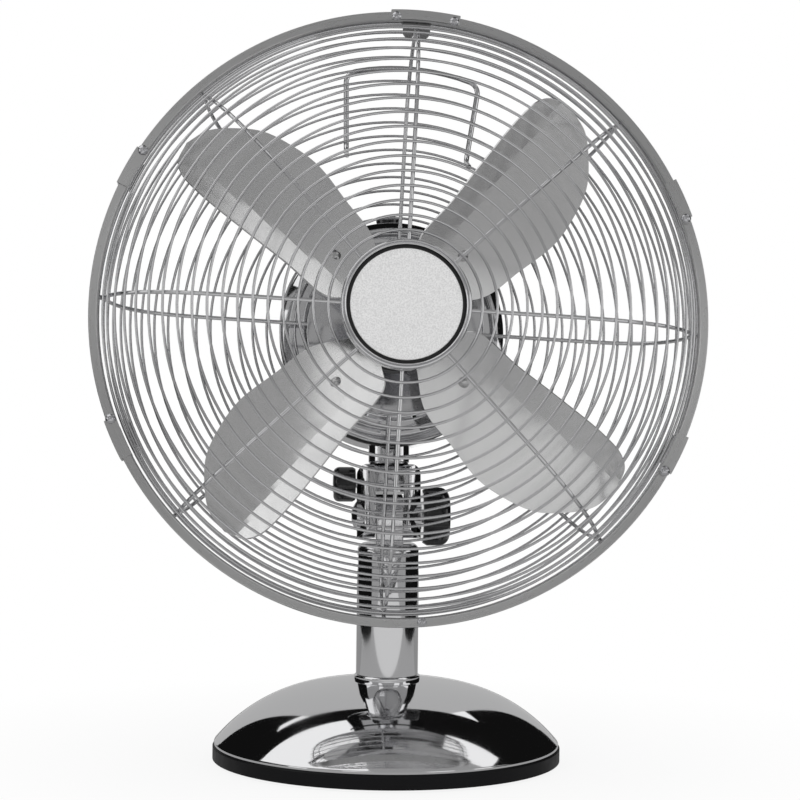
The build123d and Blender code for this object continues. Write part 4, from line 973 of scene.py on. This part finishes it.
# ---- Spider, rivets, nut and shaft
# A steel boss on the shaft with four pressed arms, each riveted behind its
# blade; a moulded nut in front holds the whole on the shaft.
spider = turned("spider_boss", [(4, -11), (15, -11), (15, 11), (4, 11)])
placed(edged(spider, 0.6), onto_axis)
arms = []
for number in range(4):
    arm = stamped("spider_arm", [(-10, 7.5), (-10, 53), (-5, 58), (5, 58), (10, 53), (10, 7.5)], 4,
        1.65, 1.6)
    arms.append(placed(arm, spun(blade_angle + 90 * number, "Y")))
spider = joined(spider, *arms)
set_in(spider, blade_place, zinc_steel)
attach(spider, "rotor")
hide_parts("blade_hub")
heads, rivet_reach = [], 50
for number in range(4):
    seat_place = (blade_place @ spun(blade_angle + 90 * number, "Y") @ moved(0, 0, rivet_reach)
        @ Matrix.Rotation(pitch_at(rivet_reach), 4, "Z"))
    for face, flip, deep in ((-1.22, 1, 1.6), (1.72, -1, 1.5)):
        head = round_head("domed_rivets", 3.2, 1.2 if flip > 0 else 1, 1.7, deep, 0)
        turned_round = Matrix() if flip > 0 else spun(180, "Z")
        stand = seat_place @ turned_round @ moved(0, face * flip, 0) @ upright
        heads.append(placed(head, stand))
blade_rivets = joined(*heads)
soft_rivet = finish_of("satin_rivets", (0.66, 0.66, 0.66), 1, 0.22, 0.34, 200)
set_in(blade_rivets, Matrix(), soft_rivet)
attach(blade_rivets, "rotor")
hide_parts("blade_rivets")
spinner = turned("hub_spinner_nut", [(0, -117), (7, -117), (9, -115), (9, -103), (4, -103),
    (4, -106), (0, -106)], steps=64, closed=False)
set_in(edged(spinner, 0.5), head_place @ onto_axis, matte_black)
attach(spinner, "rotor")
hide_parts("hub_nut")
shaft = turned("ground_shaft", [(0, -106), (4, -106), (4, 8.3), (5.2, 8.3), (5.2, 17.3), (4, 17.3),
    (4, 19.3), (0, 19.3)], steps=64, closed=False)
set_in(edged(shaft, 0.3), head_place @ onto_axis, zinc_steel)
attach(shaft, "rotor")
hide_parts("motor_shaft")


# ---- Floor and backdrop
# A plain pale floor that keeps the shadow. The backdrop is white to the eye
# and in the metal, and a softer light reaches everything else.
def cleared(owner):
    """The emptied node tree of a material or a world."""
    owner.use_nodes = True
    owner.node_tree.nodes.clear()
    return owner.node_tree


bpy.ops.mesh.primitive_plane_add(size=12, location=(0, 0, -0.0003))
floor = bpy.context.object
floor.name = "studio_floor"
pale = bpy.data.materials.new("pale_floor")
tree = cleared(pale)
paper = added(tree, "BsdfDiffuse", {"Color": (0.80, 0.80, 0.80, 1)})
glow = added(tree, "Emission", {"Color": (1, 1, 1, 1), "Strength": 1})
ray = added(tree, "LightPath")
seen = added(tree, "Math", operation="MAXIMUM")
ground = added(tree, "TexCoord")
reach = added(tree, "VectorMath", operation="LENGTH")
fade = added(tree, "MapRange", {"From Min": 0.10, "From Max": 0.34, "To Min": 0.88, "To Max": 1})
share = added(tree, "Math", operation="MULTIPLY")
blend = added(tree, "MixShader")
out = added(tree, "OutputMaterial")
linked(tree, (ray, "Is Camera Ray", seen, 0), (ray, "Is Glossy Ray", seen, 1),
    (ground, "Object", reach, 0), (reach, "Value", fade, "Value"), (seen, "Value", share, 0),
    (fade, "Result", share, 1), (share, "Value", blend, "Fac"), (paper, "BSDF", blend, 1),
    (glow, "Emission", blend, 2), (blend, "Shader", out, "Surface"))
floor.data.materials.append(pale)

world = bpy.data.worlds.new("studio")
bpy.context.scene.world = world
tree = cleared(world)
ray = added(tree, "LightPath")
one = added(tree, "Math", operation="MAXIMUM")
two = added(tree, "Math", operation="MAXIMUM")
level = added(tree, "MapRange", {"To Min": 0.75, "To Max": 1})
sky = added(tree, "Background", {"Color": (1, 1, 1, 1)})
out = added(tree, "OutputWorld")
linked(tree, (ray, "Is Camera Ray", one, 0), (ray, "Is Glossy Ray", one, 1),
    (one, "Value", two, 0), (ray, "Is Transmission Ray", two, 1), (two, "Value", level, "Value"),
    (level, "Result", sky, "Strength"), (sky, "Background", out, "Surface"))


# ---- Studio light
# Two soft boxes in front and above light the fan. Pale and dark cards round it
# show in the metal alone, as in a product studio.
def flag(name, centre, facing, size, tone):
    """A card that shows in reflections alone."""
    bpy.ops.mesh.primitive_plane_add(size=1, location=centre)
    card = bpy.context.object
    card.name = name
    card.scale = (size[0], size[1], 1)
    card.rotation_euler = (Vector(facing) - Vector(centre)).to_track_quat("Z", "Y").to_euler()
    made = bpy.data.materials.new(name)
    tree = cleared(made)
    surface = added(tree, "Emission", {"Color": (tone, tone, tone, 1)})
    linked(tree, (surface, "Emission", added(tree, "OutputMaterial"), "Surface"))
    card.data.materials.append(made)
    for kind in ("camera", "diffuse", "shadow", "transmission", "volume_scatter"):
        setattr(card, "visible_" + kind, False)


flag("overhead_flag", (0, 0.525, 1.5), (0, 0.525, 0), (5, 1.25), 0.006)
flag("front_ceiling", (0, -1.25, 1.5), (0, -1.25, 0), (7, 2.3), 0.33)
flag("overhead_left", (-1.05, -0.02, 1.45), (-1.05, -0.02, 0), (1.60, 1.40), 1)
flag("overhead_right", (1.00, 0.10, 1.45), (1.00, 0.10, 0), (0.84, 0.46), 1)
flag("back_card", (0, 2.6, 1.6), (0, 0, 1.6), (2.6, 3.4), 0.48)
flag("back_left_flag", (-1.9, 2.6, 1.4), (-1.9, 0, 1.4), (1.2, 3), 0.006)
flag("left_wall", (-2.2, 1.3, 1.24), (0, 0, 1.24), (3.3, 2.5), 0.006)
flag("right_wall", (2.2, 1.3, 1.36), (0, 0, 1.36), (3.3, 2.7), 0.006)
flag("ground_middle", (0, -0.98, 0.0005), (0, -0.98, 1), (1.1, 1.24), 0.66)
flag("ground_near", (0, -0.08, 0.0005), (0, -0.08, 1), (1.1, 0.56), 0.38)
flag("ground_left", (-1.35, -1.2, 0.0005), (-1.35, -1.2, 1), (1.6, 2.6), 0.34)
flag("ground_right", (1.35, -1.2, 0.0005), (1.35, -1.2, 1), (1.6, 2.6), 0.34)
flag("ground_back", (0, 0.65, 0.0005), (0, 0.65, 1), (1.1, 0.9), 0.30)
flag("left_flag", (-0.55, 0.37, 0.106), (0, 0.37, 0.106), (1.26, 0.21), 0.006)
flag("right_flag", (0.55, 0.37, 0.106), (0, 0.37, 0.106), (1.26, 0.21), 0.006)
flag("front_left_card", (-0.95, -2.3, 1.15), (0, 0, 0.4), (0.9, 0.9), 0.95)
flag("front_right_card", (1.25, -2.3, 0.65), (0, 0, 0.4), (1.2, 0.9), 1)
flag("front_wall", (0, -2.4, 2), (0, 0, 2), (7, 4.8), 0.34)


def softbox(name, place, aim, size, watts):
    """A plain area lamp that does not show in the metal."""
    lamp = bpy.data.lights.new(name, "AREA")
    lamp.shape = "RECTANGLE"
    lamp.size, lamp.size_y = size
    lamp.energy = watts
    holder = bpy.data.objects.new(name, lamp)
    bpy.context.scene.collection.objects.link(holder)
    holder.location = place
    holder.visible_glossy = False
    holder.rotation_euler = (Vector(aim) - Vector(place)).to_track_quat("-Z", "Y").to_euler()


softbox("left_softbox", (-0.70, -0.85, 2), (0, 0, 0.2), (0.7, 0.7), 2.4)
softbox("right_softbox", (0.75, -0.80, 1.9), (0, 0, 0.2), (0.6, 0.6), 1.8)


# ---- Camera
# A long lens a little above the middle of the fan, slightly to its left.
lens = bpy.data.cameras.new("camera")
lens.sensor_width, lens.lens = 36, 99.4
camera = bpy.data.objects.new("camera", lens)
bpy.context.scene.collection.objects.link(camera)
camera.location = (-0.0797, -1.2979, 0.237)
camera.rotation_euler = (radians(88.9), radians(-0.64), radians(-3.764))
bpy.context.scene.camera = camera
bpy.context.scene.view_settings.view_transform = "Standard"
